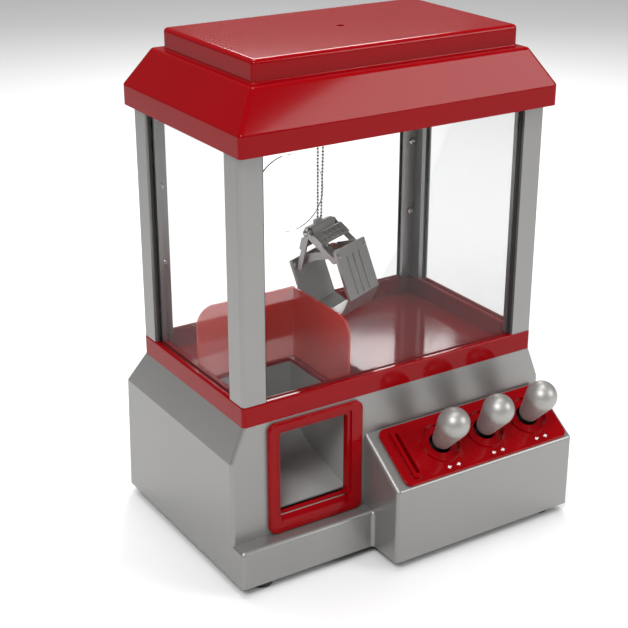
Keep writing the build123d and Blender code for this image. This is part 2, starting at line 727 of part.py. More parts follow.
lever_axis = cross_pin(COIN_X + LEVER_OUT, 0, -COIN_DEPTH + LEVER_UP)
with BuildPart() as coin_chute:
    chute_y = span(0, SLOT_L + 2 * COIN_WALL)
    slab(span(COIN_X, COIN_W), chute_y, (-COIN_DEPTH, 0), 1.0, plane=panel)
    slab(
        span(COIN_X, COIN_WAY),
        span(0, SLOT_L),
        (-COIN_DEPTH - 1, 1),
        0,
        Mode.SUBTRACT,
        panel,
    )
    # hinge ears for the coin lever
    for y in (-LEVER_HALF - GAP - 2.1, LEVER_HALF + GAP + 0.1):
        ear_x = (COIN_X + COIN_W / 2 - 0.1, COIN_X + LEVER_OUT + 2.8)
        slab(ear_x, (y, y + 2), (-COIN_DEPTH, -COIN_DEPTH + 2 * LEVER_UP), plane=panel)
    rod(lever_axis, ((0, 0),), LEVER_PIN_R, (-LEVER_HALF - 1.8, LEVER_HALF + 1.8))
finish(coin_chute, "coin_chute")

LEVER_Z = (-COIN_DEPTH - LEVER_T - 1.4, -COIN_DEPTH - 1.4)
with BuildPart() as coin_lever:
    half = (-LEVER_HALF, LEVER_HALF)
    rod(lever_axis, ((0, 0),), LEVER_HALF, half)
    slab((COIN_X - 2, COIN_X + LEVER_OUT), half, LEVER_Z, plane=panel)
    slab(span(COIN_X + LEVER_OUT, 2), half, (LEVER_Z[0], -COIN_DEPTH + 2), plane=panel)
    rod(lever_axis, ((0, 0),), LEVER_PIN_R + RUN_FIT, (-5, 5), Mode.SUBTRACT)
finish(coin_lever, "coin_lever")

with BuildPart() as joystick_brackets:
    for x in stick_xs.values():
        cheek = STICK_BOSS_L + GAP + 0.1 + BRACKET_T / 2
        for y in (STICK_UP - cheek, STICK_UP + cheek):
            slab(span(x, 10), span(y, BRACKET_T), (-STICK_DROP - 4, -GAP), plane=panel)
        axle = cross_pin(x, STICK_UP, -STICK_DROP)
        rod(axle, ((0, 0),), AXLE_R, (-AXLE_L, AXLE_L))
finish(joystick_brackets, "joystick_brackets")

for side_name, x in stick_xs.items():
    stick = Plane(
        origin=panel.from_local_coords((x, STICK_UP, 0)),
        x_dir=panel.x_dir,
        z_dir=panel.z_dir,
    )
    axle = cross_pin(x, STICK_UP, -STICK_DROP)
    with BuildPart() as stem:
        rod(stick, ((0, 0),), STEM_R, (-STICK_DROP, STEM_TOP))
        rod(axle, ((0, 0),), STICK_BOSS_R, (-STICK_BOSS_L, STICK_BOSS_L))
        rod(axle, ((0, 0),), AXLE_R + RUN_FIT, (-AXLE_L, AXLE_L), Mode.SUBTRACT)
    finish(stem, f"{side_name}_stem")
    profile = Plane(origin=stick.origin, x_dir=stick.x_dir, z_dir=-stick.y_dir)
    cone = radians(KNOB_CONE)
    touch = (KNOB_R * cos(cone), KNOB_H - KNOB_R * sin(cone))
    crown = (0, KNOB_H + KNOB_R)
    with BuildPart() as knob:
        with BuildSketch(profile):
            with BuildLine():
                Polyline(crown, (0, KNOB_FOOT), (KNOB_NECK_R, KNOB_FOOT), touch)
                ThreePointArc(touch, (KNOB_R, KNOB_H), crown)
            make_face()
        revolve(axis=Axis(stick.origin, stick.z_dir))
        rod(stick, ((0, 0),), STEM_R + SEAT, (KNOB_FOOT - 1, STEM_TOP + 0.05), Mode.SUBTRACT)
    finish(knob, f"{side_name}_knob")

# ---------------------------------------------------------------- posts and windows
POST_Z = (RIM_Z, CEILING_Z)
for name, sx, sy, x, y in corners():
    inner_x = x - sx * POST_W
    inner_y = y - sy * POST_W
    with BuildPart() as post:
        slab(sorted((x - sx * 0.1, inner_x)), sorted((y - sy * 0.1, inner_y)), POST_Z)
        outer_edge = post.edges().filter_by(Axis.Z).sort_by(Axis((0, 0, 0), (sx, sy, 0)))[-1]
        fillet(outer_edge, EDGE_R)
        slab(
            sorted((x - sx * POST_T, inner_x - sx)),
            sorted((y - sy * POST_T, inner_y - sy)),
            (POST_Z[0] - 1, POST_Z[1] + 1),
            0,
            Mode.SUBTRACT,
        )
        for z in SCREW_ZS:
            leg = sorted((-y + sy * 0.8, -y + sy * (POST_T + 1)))
            rod(Plane.XZ, ((x - sx * SCREW_X, z),), SCREW_R + 0.05, leg, Mode.SUBTRACT)
    finish(post, f"{name}_post")

CLAMP_IN = PANE_OUT + PANE_T + GAP  # clamp's outer face inside the tower
CLAMP_Z = (RIM_Z, CEILING_Z - GAP)
with BuildPart() as window_clamps:
    for name, sx, sy, x, y in corners():
        ox = x - sx * CLAMP_IN
        oy = y - sy * CLAMP_IN
        ex = x - sx * (POST_W + 1)
        ey = y - sy * (POST_W + 1)
        slab(sorted((ox, ex)), sorted((oy, oy - sy * CLAMP_T)), CLAMP_Z)
        slab(sorted((ox, ox - sx * CLAMP_T)), sorted((oy, ey)), CLAMP_Z)
        for z in SCREW_ZS:
            place = ((x - sx * SCREW_X, z),)
            rod(Plane.XZ, place, SCREW_R + 0.1, span(-oy, 2 * POST_W), Mode.SUBTRACT)
finish(window_clamps, "window_clamps")

with BuildPart() as clamp_screws:
    for name, sx, sy, x, y in corners():
        face = y - sy * (CLAMP_IN + CLAMP_T)
        for z in SCREW_ZS:
            place = ((x - sx * SCREW_X, z),)
            rod(Plane.XZ, place, SCREW_R, sorted((-face, -(y - sy * 1.0))))
            rod(Plane.XZ, place, SCREW_HEAD_R, sorted((-face, -(face - sy * 1.4))))
finish(clamp_screws, "clamp_screws")

PANE_Z = (GROOVE_Z + GAP, CEILING_Z - GAP)
PANE_HALF_X = TOWER - POST_W + PANE_TUCK
PANE_Y = (FACE + POST_W - PANE_TUCK, REAR - POST_W + PANE_TUCK)
for name, y in (("front_window", FACE + PANE_OUT), ("rear_window", REAR - PANE_OUT - PANE_T)):
    with BuildPart() as pane:
        slab((-PANE_HALF_X, PANE_HALF_X), (y, y + PANE_T), PANE_Z)
        if name == "rear_window":
            rod(Plane.XZ, ((0, HOLE_Z),), HOLE_R, (-y - PANE_T - 1, -y + 1), Mode.SUBTRACT)
    finish(pane, name)
for name, side in (("left_window", -1), ("right_window", 1)):
    with BuildPart() as pane:
        x = side * (TOWER - PANE_OUT)
        slab(sorted((x, x - side * PANE_T)), PANE_Y, PANE_Z)
    finish(pane, name)

with BuildPart() as window_gaskets:
    gasket_z = (RIM_Z, CANOPY_Z)
    for name, sx, sy, x, y in corners():
        end_x = sorted((x - sx * POST_W, x - sx * (POST_W + GASKET_W)))
        end_y = sorted((y - sy * POST_W, y - sy * (POST_W + GASKET_W)))
        back_x = sorted((x - sx * (PANE_OUT - GASKET_T), x - sx * PANE_OUT))
        back_y = sorted((y - sy * (PANE_OUT - GASKET_T), y - sy * PANE_OUT))
        slab(end_x, back_y, gasket_z)
        slab(back_x, end_y, gasket_z)
finish(window_gaskets, "window_gaskets")

# ---------------------------------------------------------------- canopy and ceiling
EAVES_Z = CANOPY_Z + EAVES_H
CAP_X = TOWER + EAVES_OUT - BROW_IN - CAP_IN
CAP_Y = (
    FACE - EAVES_FRONT + BROW_IN_Y + CAP_IN_FRONT,
    REAR + EAVES_BACK - BROW_IN_Y - CAP_IN_BACK,
)


def canopy_form(inset, mode):
    """The canopy's outer form, or with an inset its hollow."""
    x = TOWER + EAVES_OUT - inset
    y0 = FACE - EAVES_FRONT + inset
    y1 = REAR + EAVES_BACK - inset
    low = CANOPY_Z - (1 if inset else 0)
    brow = (-x + BROW_IN, x - BROW_IN, y0 + BROW_IN_Y, y1 - BROW_IN_Y, BROW_Z - inset)
    frustum(((-x, x, y0, y1, low), (-x, x, y0, y1, EAVES_Z), brow), mode)
    cap_x = (-CAP_X + inset, CAP_X - inset)
    cap_y = (CAP_Y[0] + inset, CAP_Y[1] - inset)
    slab(cap_x, cap_y, (BROW_Z - inset - 1, HEIGHT - inset), 0, mode)


def on_cap_foot(edge):
    """True for the edges where the raised cap meets the brow."""
    middle = edge.center()
    in_x = abs(middle.X) < CAP_X + 1
    in_y = CAP_Y[0] - 1 < middle.Y < CAP_Y[1] + 1
    return abs(middle.Z - BROW_Z) < 0.1 and in_x and in_y


boss_places = [(side * (TOWER - BOSS_IN), MIDDLE_Y) for side in (-1, 1)]
with BuildPart() as canopy:
    canopy_form(0, Mode.ADD)
    above_rim = canopy.edges().filter_by(lambda edge: edge.center().Z > CANOPY_Z + 0.1)
    fillet([edge for edge in above_rim if not on_cap_foot(edge)], EDGE_R)
    fillet(canopy.edges().filter_by(on_cap_foot), EDGE_R / 2)
    canopy_form(WALL, Mode.SUBTRACT)
    rod(Plane.XY, boss_places, BOSS_R, (DECK_TOP_Z, EAVES_Z + 8))
    rod(Plane.XY, boss_places, SCREW_R + 0.05, (CEILING_Z, EAVES_Z), Mode.SUBTRACT)
    rod(Plane.XY, ((0, MIDDLE_Y),), CAP_HOLE_R, (HEIGHT - WALL - 1, HEIGHT + 1), Mode.SUBTRACT)
finish(canopy, "canopy")

BLOCK_XS = (CRANE_X - BLOCK_LEFT, CRANE_X + BLOCK_RIGHT)
RAIL_X = (BLOCK_XS[0] - BLOCK_T / 2, BLOCK_XS[1] + BLOCK_T / 2)
with BuildPart() as ceiling_plate:
    reach_x = TOWER - CEILING_IN
    ceiling_z = (CEILING_Z, DECK_TOP_Z)
    through = (CEILING_Z - 1, DECK_TOP_Z + 1)
    slab((-reach_x, reach_x), (FACE + CEILING_IN, REAR - CEILING_IN), ceiling_z, EDGE_R)
    hatch_x = (CRANE_X - HATCH[0], CRANE_X + HATCH[1])
    hatch_y = (CRANE_Y - HATCH[2], CRANE_Y + HATCH[3])
    slab(hatch_x, hatch_y, through, 4.0, Mode.SUBTRACT)
    rod(Plane.XY, boss_places, SCREW_R + 0.1, through, Mode.SUBTRACT)
    # blocks that hold the ends of the two rails and of the lead screw
    for x in BLOCK_XS:
        bore = span(x, BLOCK_T + 2)
        for y, reach in ((RAIL_FRONT, BLOCK_R), (RAIL_BACK, SCREW_IN + 4)):
            slab(span(x, BLOCK_T), (y - reach, y + BLOCK_R), (DECK_TOP_Z, RAIL_Z + BLOCK_R))
            rod(Plane.YZ, ((y, RAIL_Z),), RAIL_R + SEAT, bore, Mode.SUBTRACT)
        rod(Plane.YZ, ((SCREW_Y, RAIL_Z),), LEAD_R + RUN_FIT, bore, Mode.SUBTRACT)
finish(ceiling_plate, "ceiling_plate")

with BuildPart() as canopy_screws:
    rod(Plane.XY, boss_places, SCREW_R, (CEILING_Z, EAVES_Z - 1))
    rod(Plane.XY, boss_places, SCREW_HEAD_R, (CEILING_Z - HEAD_T, CEILING_Z))
finish(canopy_screws, "canopy_screws")

with BuildPart() as bridge_rails:
    rod(Plane.YZ, ((RAIL_FRONT, RAIL_Z), (RAIL_BACK, RAIL_Z)), RAIL_R, RAIL_X)
finish(bridge_rails, "bridge_rails")

with BuildPart() as bridge_motor:
    motor_end = RAIL_X[0] - GAP
    slab(
        (motor_end - BRIDGE_MOTOR_L, motor_end),
        span(SCREW_Y, MOTOR_W),
        (DECK_TOP_Z, DECK_TOP_Z + MOTOR_W),
        1.5,
    )
finish(bridge_motor, "bridge_motor")

with BuildPart() as bridge_screw:
    rod(Plane.YZ, ((SCREW_Y, RAIL_Z),), LEAD_R, RAIL_X)
finish(bridge_screw, "bridge_screw")

# ---------------------------------------------------------------- bridge (moves along X)
bridge_x = span(CRANE_X, BRIDGE_W)
span_places = [(CRANE_X - SPAN_PITCH / 2, SPAN_Z), (CRANE_X + SPAN_PITCH / 2, SPAN_Z)]
BRIDGE_Z = (DECK_TOP_Z + BRIDGE_UP, SPAN_Z + SPAN_R + 1.5)
span_screw = (CRANE_X + SPAN_SCREW_X, SPAN_Z - SPAN_SCREW_DROP)
screw_ends = (-RAIL_BACK + RAIL_R + 1, -RAIL_FRONT - RAIL_R - 1)
with BuildPart() as bridge_frame:
    bore = span(CRANE_X, BRIDGE_W + 2)
    for y in (RAIL_FRONT, RAIL_BACK):
        slab(bridge_x, span(y, BRIDGE_END_D), BRIDGE_Z)
    # nut for the bridge's lead screw
    slab(span(CRANE_X, NUT_W), (SCREW_Y - 4, RAIL_BACK), (BRIDGE_Z[0], RAIL_Z + BLOCK_R))
    for y in (RAIL_FRONT, RAIL_BACK):
        rod(Plane.YZ, ((y, RAIL_Z),), RAIL_R + RUN_FIT, bore, Mode.SUBTRACT)
        rod(Plane.XZ, span_places, SPAN_R + SEAT, span(-y, 2 * BRIDGE_END_D), Mode.SUBTRACT)
    rod(Plane.YZ, ((SCREW_Y, RAIL_Z),), LEAD_R + RUN_FIT, bore, Mode.SUBTRACT)
    # blind bearings for the trolley's lead screw
    bearing = (screw_ends[0] - GAP, screw_ends[1] + GAP)
    rod(Plane.XZ, (span_screw,), LEAD_R + RUN_FIT, bearing, Mode.SUBTRACT)
finish(bridge_frame, "bridge_frame")

with BuildPart() as span_rods:
    rod_ends = (-RAIL_BACK - BRIDGE_END_D / 2, -RAIL_FRONT + BRIDGE_END_D / 2)
    rod(Plane.XZ, span_places, SPAN_R, rod_ends)
finish(span_rods, "span_rods")

with BuildPart() as trolley_motor:
    motor_y = (RAIL_FRONT + BRIDGE_END_D / 2, RAIL_FRONT + BRIDGE_END_D / 2 + TROLLEY_MOTOR_L)
    motor_z = (span_screw[1] - MOTOR_W / 2, SPAN_Z - SPAN_R - GAP)
    slab(span(span_screw[0], MOTOR_W), motor_y, motor_z)
    rod(Plane.XZ, (span_screw,), LEAD_R + GAP, (-motor_y[1] - 1, -motor_y[0] + 1), Mode.SUBTRACT)
finish(trolley_motor, "trolley_motor")

with BuildPart() as trolley_screw:
    rod(Plane.XZ, (span_screw,), LEAD_R, screw_ends)
finish(trolley_screw, "trolley_screw")

# ---------------------------------------------------------------- trolley (moves along Y)
TROLLEY_Z = (SPAN_Z - TROLLEY_DROP, SPAN_Z + TROLLEY_RISE)
DRUM_Y = CRANE_Y + DRUM_R + CHAIN_R + GAP
drum_x = (CRANE_X + DRUM_X0, CRANE_X + DRUM_X1)
drum_pin_x = (drum_x[0] - DRUM_PIN_OUT, drum_x[1] + 1.6)
drum_place = ((DRUM_Y, SPAN_Z),)
with BuildPart() as trolley_frame:
    slab(span(CRANE_X, TROLLEY_W), span(CRANE_Y, TROLLEY_D), TROLLEY_Z)
    # well that the drum turns in and the chains hang through
    well_x = (drum_x[0] - 0.4, drum_x[1] + 0.4)
    slab(well_x, (CRANE_Y - 4, CRANE_Y + 10), (0, HEIGHT), 0, Mode.SUBTRACT)
    bore = span(-CRANE_Y, 2 * TROLLEY_D)
    rod(Plane.XZ, span_places, SPAN_R + RUN_FIT, bore, Mode.SUBTRACT)
    rod(Plane.XZ, (span_screw,), LEAD_R + RUN_FIT, bore, Mode.SUBTRACT)
    bearing = (drum_pin_x[0] - 0.2, drum_pin_x[1] + 0.2)
    rod(Plane.YZ, drum_place, DRUM_PIN_R + RUN_FIT, bearing, Mode.SUBTRACT)
finish(trolley_frame, "trolley_frame")

for name, x in (("hoist_motor", CRANE_X - TROLLEY_W / 4), ("grip_motor", CRANE_X + TROLLEY_W / 4)):
    with BuildPart() as motor:
        motor_z = (TROLLEY_Z[1], TROLLEY_Z[1] + TOP_MOTOR_H)
        slab(span(x, TOP_MOTOR_W), span(CRANE_Y, TOP_MOTOR_L), motor_z, 2.0)
    finish(motor, name)

with BuildPart() as hoist_drum:
    rod(Plane.YZ, drum_place, DRUM_R, drum_x)
    for flange in ((drum_x[0], drum_x[0] + FLANGE_T), (drum_x[1] - FLANGE_T, drum_x[1])):
        rod(Plane.YZ, drum_place, DRUM_R + FLANGE_RISE, flange)
    rod(Plane.YZ, drum_place, DRUM_PIN_R, drum_pin_x)
finish(hoist_drum, "hoist_drum")

with BuildPart() as hoist_chains:
    for foot_x, lean in zip(CHAIN_XS, (0, CHAIN_SPREAD)):
        start = Vector(CRANE_X + foot_x, CRANE_Y, EYE_Z + CHAIN_FOOT)
        way = Vector(CRANE_X + foot_x + lean, CRANE_Y, SPAN_Z) - start
        rod(Plane(origin=start, z_dir=way.normalized()), ((0, 0),), CHAIN_R, (0, way.length))
finish(hoist_chains, "hoist_chains")

# ---------------------------------------------------------------- claw (rises and falls)
across = Plane(origin=claw.origin, x_dir=claw.y_dir, z_dir=claw.x_dir)  # (y, z) of the claw
yoke_pin = ((0, YOKE_PIN_Z),)
hub_pin = ((0, HUB_Z),)


def bar(points, x, mode=Mode.ADD):
    """A prism across the claw: an outline of (y, z) over a range of x."""
    prism(across.offset(x[0]), points, x[1] - x[0], mode)


def both_sides(x, width):
    """The range of x of a side plate, and of its twin on the other side."""
    return ((x, x + width), (-x - width, -x))


with BuildPart() as claw_yoke:
    yoke = ((-3.4, -2.6), (3.4, -2.6), (3.4, 1.4), (1.8, 3.0), (-1.8, 3.0), (-3.4, 1.4))
    bar(yoke, (-YOKE_HALF, YOKE_HALF))
    # bead that the chains hook into
    bar(((-1.6, 2.5), (1.6, 2.5), (1.2, 5.2), (-1.2, 5.2)), (-3.2, 3.2))
    rod(across, yoke_pin, YOKE_PIN_R, (-YOKE_PIN_L, YOKE_PIN_L))
    rod(claw, ((0, 0),), PLUNGER_R + RUN_FIT, (-4, 2.4), Mode.SUBTRACT)
finish(claw_yoke, "claw_yoke")

LINK_Y = LINK_OUT - LINK_SHORT
ARM_L = hypot(LINK_Y, LINK_Z)
PLATE_LOW = 4.6  # bridge plate between a link's two bars, along the link
PLATE_HIGH = 13.0
PLATE_OUT = 3.1
PLATE_IN = 1.4


def along_link(side, run, rise):
    """A (y, z) of the claw: so far down a link and so far out from it."""
    return (
        side * (LINK_Y * run - LINK_Z * rise) / ARM_L,
        (LINK_Z * run + LINK_Y * rise) / ARM_L,
    )


for name, side in (("near_link", -1), ("far_link", 1)):
    x = LINK_X[name]
    with BuildPart() as link:
        for arm in both_sides(x, LINK_T):
            rod(across, yoke_pin, LINK_R, arm)
            rod(across, (along_link(side, ARM_L, 0),), LINK_END_R, arm)
            ends = ((0, LINK_HALF), (ARM_L, LINK_HALF), (ARM_L, -LINK_HALF), (0, -LINK_HALF))
            bar([along_link(side, *end) for end in ends], arm)
        plate = (
            (PLATE_LOW, PLATE_OUT),
            (PLATE_HIGH, PLATE_OUT),
            (PLATE_HIGH, PLATE_IN),
            (PLATE_LOW, PLATE_IN),
        )
        bar([along_link(side, *corner) for corner in plate], (-x - LINK_T, x + LINK_T))
        rod(across, yoke_pin, YOKE_PIN_R + RUN_FIT, (-20, 20), Mode.SUBTRACT)
    finish(link, name)

with BuildPart() as claw_hub:
    bar(((-3, HUB_Z - 2.6), (3, HUB_Z - 2.6), (3, HUB_Z + 2.4), (-3, HUB_Z + 2.4)), (-2.5, 2.5))
    rod(claw, ((0, 0),), PLUNGER_R, (HUB_Z, 2.0))
    rod(across, hub_pin, HUB_PIN_R, (-HUB_PIN_L, HUB_PIN_L))
finish(claw_hub, "claw_hub")

with BuildPart() as claw_spring:
    for coil in both_sides(SPRING_X[0], SPRING_X[1] - SPRING_X[0]):
        rod(across, hub_pin, SPRING_R, coil)
    rod(across, hub_pin, HUB_PIN_R + GAP, (-9, 9), Mode.SUBTRACT)
finish(claw_spring, "claw_spring")


def jaw_outline(side):
    """The jaw's bent plate as (y, z) of the claw, closing on the middle."""
    inner = JAW_OUT - JAW_T
    return (
        (side * JAW_OUT, JAW_TOP),
        (side * JAW_OUT, JAW_BEND),
        (side * (JAW_OUT - JAW_SLOPE), JAW_TIP),
        (side * JAW_SPLIT, JAW_TIP - JAW_FLOOR),
        (side * JAW_SPLIT, JAW_TIP - JAW_FLOOR + JAW_T),
        (side * (JAW_OUT - JAW_SLOPE - JAW_T / 2), JAW_TIP + JAW_T),
        (side * inner, JAW_BEND + JAW_T / 3),
        (side * inner, JAW_TOP),
    )


for name, side in (("near_jaw", -1), ("far_jaw", 1)):
    with BuildPart() as jaw:
        bar(jaw_outline(side), span(0, JAW_W))
        # raised ribs down the outer face
        rib = (
            (side * (JAW_OUT - 0.5), JAW_TOP - 5),
            (side * (JAW_OUT + JAW_RIB_H), JAW_TOP - 6.5),
            (side * (JAW_OUT + JAW_RIB_H), JAW_BEND + 2),
            (side * (JAW_OUT - 0.5), JAW_BEND + 0.5),
        )
        for x in (-JAW_RIB_X, 0, JAW_RIB_X):
            bar(rib, span(x, JAW_RIB_W))
        # arms in to the hub pin
        arm_outline = (
            (0, HUB_Z - 2.2),
            (side * (JAW_OUT - 1), JAW_TOP - 6),
            (side * (JAW_OUT - 1), JAW_TOP),
            (0, HUB_Z + 2.2),
        )
        for arm in both_sides(JAW_ARM_X[name], JAW_ARM_T):
            bar(arm_outline, arm)
            rod(across, hub_pin, LINK_R, arm)
        rod(across, hub_pin, HUB_PIN_R + RUN_FIT, (-14, 14), Mode.SUBTRACT)
    finish(jaw, name)
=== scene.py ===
"""Claw crane machine: finishes, fine detail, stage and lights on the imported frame.

Metres, in the CAD's frame.  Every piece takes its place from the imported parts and
the recorded joints, so it follows them when a size changes.
"""

import json
import math

import bmesh
import bpy
from bpy.props import FloatProperty, FloatVectorProperty, IntProperty, PointerProperty
from mathutils import Matrix, Vector


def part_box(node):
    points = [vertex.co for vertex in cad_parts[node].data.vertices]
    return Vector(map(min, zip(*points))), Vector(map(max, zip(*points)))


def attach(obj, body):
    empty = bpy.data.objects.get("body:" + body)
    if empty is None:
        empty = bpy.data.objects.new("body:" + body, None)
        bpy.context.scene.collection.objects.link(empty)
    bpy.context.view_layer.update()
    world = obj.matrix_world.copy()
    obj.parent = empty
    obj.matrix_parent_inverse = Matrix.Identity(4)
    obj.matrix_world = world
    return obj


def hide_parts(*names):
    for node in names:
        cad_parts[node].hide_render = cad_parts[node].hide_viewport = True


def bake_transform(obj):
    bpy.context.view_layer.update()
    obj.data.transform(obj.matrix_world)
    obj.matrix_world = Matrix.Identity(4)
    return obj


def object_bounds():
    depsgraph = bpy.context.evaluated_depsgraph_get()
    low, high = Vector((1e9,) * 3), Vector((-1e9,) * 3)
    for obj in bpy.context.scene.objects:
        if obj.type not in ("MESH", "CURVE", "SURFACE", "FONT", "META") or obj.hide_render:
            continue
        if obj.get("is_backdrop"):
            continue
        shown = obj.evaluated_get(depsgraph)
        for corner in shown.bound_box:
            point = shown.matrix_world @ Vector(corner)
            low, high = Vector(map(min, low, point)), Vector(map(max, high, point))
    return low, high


bl_info = {
    "name": "Claw Crane Machine",
    "version": (1, 0, 0),
    "blender": (4, 5, 0),
    "location": "View3D > Sidebar > Crane",
    "description": "Dresses the packed claw crane machine with finishes and fine detail",
    "category": "Object",
}

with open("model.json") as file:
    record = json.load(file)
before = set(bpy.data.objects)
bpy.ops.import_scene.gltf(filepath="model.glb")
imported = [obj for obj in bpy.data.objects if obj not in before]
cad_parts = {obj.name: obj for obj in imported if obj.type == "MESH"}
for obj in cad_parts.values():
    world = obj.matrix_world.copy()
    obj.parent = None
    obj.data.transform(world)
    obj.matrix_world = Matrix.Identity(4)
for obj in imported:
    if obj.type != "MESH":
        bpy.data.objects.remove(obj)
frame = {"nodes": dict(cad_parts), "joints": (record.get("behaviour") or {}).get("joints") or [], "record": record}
AT_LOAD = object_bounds()
JOINTS = {joint["name"]: joint for joint in frame["joints"]}
SLOTS = {part["node"]: part["material_slot"] for part in frame["record"]["subparts"]}
BODIES = frame["record"]["behaviour"]["bodies"]
SIDES = ("left", "middle", "right")

# Meshes, metres and counts.
WELD = 1e-6
ON_AXIS = 1e-7
FLAT_ANGLE = math.radians(0.3)
BLOCK_ANGLE = math.radians(40)
SMALL_TURN = 28

# The colour sockets of a Mix node, which share their names with other types.
MIX_FACTOR, MIX_FIRST, MIX_SECOND, MIX_RESULT = 0, 6, 7, 2

# Lights: name, place, side of the square and power.
LIGHTS = (
    ("key", (-1.2, -1.0, 1.8), 0.9, 38.0),
    ("fill", (1.3, -1.4, 1.0), 0.8, 16.0),
    ("top", (0.1, 0.3, 1.9), 1.2, 30.0),
    ("rim", (0.6, 0.95, 0.8), 0.4, 6.0),
)

# Panes: faces whose normal leans this little out of the sheet are sawn edges; they get painted shade.
SAWN = 0.5

# Direction arrows: distance below the stick in arrows, and print thickness.
ARROW_REACH = 13.0
ARROW_DEPTH = 0.00012

# Knobs: steps along the cone and round the ball.
CONE_STEPS = 7
BALL_STEPS = 40

# Claw, in its own frame at the hub: X across, Z up.
PIN_UP = 0.0156
PIN_HALF = 0.0160
LINK_FOOT = (-0.0138, -0.0045)
PLATE_FACE = 0.0031
RIB_HALF = 0.0005
RIB_SINK = 0.0004
RIB_RISE = 0.0006
RIB_MARGIN = 0.0012
CROSS_RIBS = (0.0052, 0.0088, 0.0124)
LONG_RIBS = (-0.010, -0.005, 0.0, 0.005, 0.010)
LONG_RIB_START = 0.0050
LONG_RIB_END = 0.0126
LUG_X = 0.0148
LUG_OUT = 0.0168
LUG_UP = -0.0026
LUG_HALF = 0.0013
LUG_R = 0.0019
RIVET_R = 0.0016
RIVET_RISE = 0.0006

# Spring: points per turn, and pitch in radii of the wire.
TURN_POINTS = 24
COIL_PITCH = 2.15

# Chains: gap between the strands' feet, thread in beads, and mesh counts.
STRAND_GAP = 0.0025
THREAD_R = 0.3
THREAD_TURN = 8
BEAD_TURN = 14
BEAD_STEPS = 8

# Pan heads of the clamp screws.
HEAD_R = 0.0026
HEAD_RISE = 0.0014
SHANK_R = 0.0013
HEAD_TURN = 32

# Threads: rows per pitch and points round the rod.
ROWS_PER_PITCH = 6
SCREW_TURN = 18


def body_of(node):
    """The CAD body that a node belongs to."""
    for body, nodes in BODIES.items():
        if node in nodes:
            return body
    raise KeyError(node)


# ---------------------------------------------------------------- settings
def metres(name, description, default):
    """A length property, shown in the scene's unit."""
    return FloatProperty(
        name=name,
        description=description,
        default=default,
        min=0.0,
        precision=5,
        unit="LENGTH",
    )


def colour(name, description, default):
    """A linear colour property."""
    return FloatVectorProperty(
        name=name,
        description=description,
        default=default,
        size=3,
        min=0.0,
        max=1.0,
        subtype="COLOR",
    )


class CraneShape(bpy.types.PropertyGroup):
    """Sizes of the fine detail."""

    soft_edge: metres("Soft edge", "Rounding of small moulded edges", 0.0004)
    fine_edge: metres("Fine edge", "Rounding of pressed metal edges", 0.0002)
    bead: metres("Bead", "Radius of one bead of the hoist chains", 0.0009)
    bead_pitch: metres("Bead pitch", "Distance from bead to bead", 0.00215)
    wire: metres("Wire", "Radius of the spring's wire", 0.00042)
    coil: metres("Coil", "Outside radius of the spring", 0.0031)
    thread_depth: metres("Thread depth", "Depth of the lead screws' thread", 0.00028)
    thread_pitch: metres("Thread pitch", "Pitch of the lead screws' thread", 0.0016)
    stick_drop: metres("Stick drop", "Joystick pivot below the panel's underside", 0.012)
    knob_foot: metres("Knob foot", "Foot of the knobs above the panel's underside", 0.003)
    knob_neck: metres("Knob neck", "Radius of the knobs at their foot", 0.0059)
    panel_rise: metres("Panel rise", "Thickness of the red panel", 0.002)
    arrow: metres("Arrow", "Size of the direction arrows", 0.0013)
    segments: IntProperty(
        name="Segments",
        description="Segments round a turned piece",
        default=64,
        min=12,
        max=128,
    )


class CraneFinish(bpy.types.PropertyGroup):
    """Colours of the main finishes."""

    red: colour("Red", "Gloss moulding", (0.235, 0.0003, 0.0022))
    silver: colour("Silver", "Satin lacquer on the base and posts", (0.268, 0.264, 0.256))
    knob: colour("Knob", "Satin metal of the joystick knobs", (0.36, 0.352, 0.336))
    guard: colour("Guard", "Clear red plastic", (0.72, 0.045, 0.03))
    grab: colour("Grab", "Satin grey paint of the claw", (0.45, 0.44, 0.43))
    copper: colour("Copper", "Coppered spring wire", (0.42, 0.17, 0.10))


class CraneStage(bpy.types.PropertyGroup):
    """Camera, floor and lights."""

    camera_at: FloatVectorProperty(
        name="Camera",
        description="Where the camera stands",
        default=(-0.4403, -0.6544, 0.4630),
        size=3,
        subtype="TRANSLATION",
        unit="LENGTH",
    )
    camera_turn: FloatVectorProperty(
        name="Turn",
        description="The camera's rotation",
        default=(math.radians(67.203), 0.0, math.radians(-32.373)),
        size=3,
        subtype="EULER",
        unit="ROTATION",
    )
    lens: FloatProperty(
        name="Lens",
        description="Focal length on a 36 mm sensor",
        default=80.1,
        min=10.0,
        unit="CAMERA",
    )
    floor: metres("Floor", "Side of the pale floor", 6.0)
    sky: FloatProperty(
        name="Sky",
        description="Strength of the even white surroundings",
        default=0.2,
        min=0.0,
    )


def shape():
    """The detail sizes of this scene."""
    return bpy.context.scene.crane_shape


def tones():
    """The finish colours of this scene."""
    return bpy.context.scene.crane_finish


# ---------------------------------------------------------------- shader graphs
class Signal:
    """A shader output that takes Python arithmetic."""

    def __init__(self, graph, socket):
        self.graph = graph
        self.socket = socket

    def math(self, operation, other, swap=False):
        """A Math node on this signal and another value, or on the two swapped."""
        pair = (other, self) if swap else (self, other)
        settings = {"operation": operation}
        return self.graph.node("ShaderNodeMath", settings, dict(enumerate(pair)))

    def __add__(self, other):
        return self.math("ADD", other)

    def __radd__(self, other):
        return self.math("ADD", other)

    def __sub__(self, other):
        return self.math("SUBTRACT", other)

    def __rsub__(self, other):
        return self.math("SUBTRACT", other, swap=True)

    def __mul__(self, other):
        return self.math("MULTIPLY", other)

    def __rmul__(self, other):
        return self.math("MULTIPLY", other)

    def __lt__(self, other):
        return self.math("LESS_THAN", other)


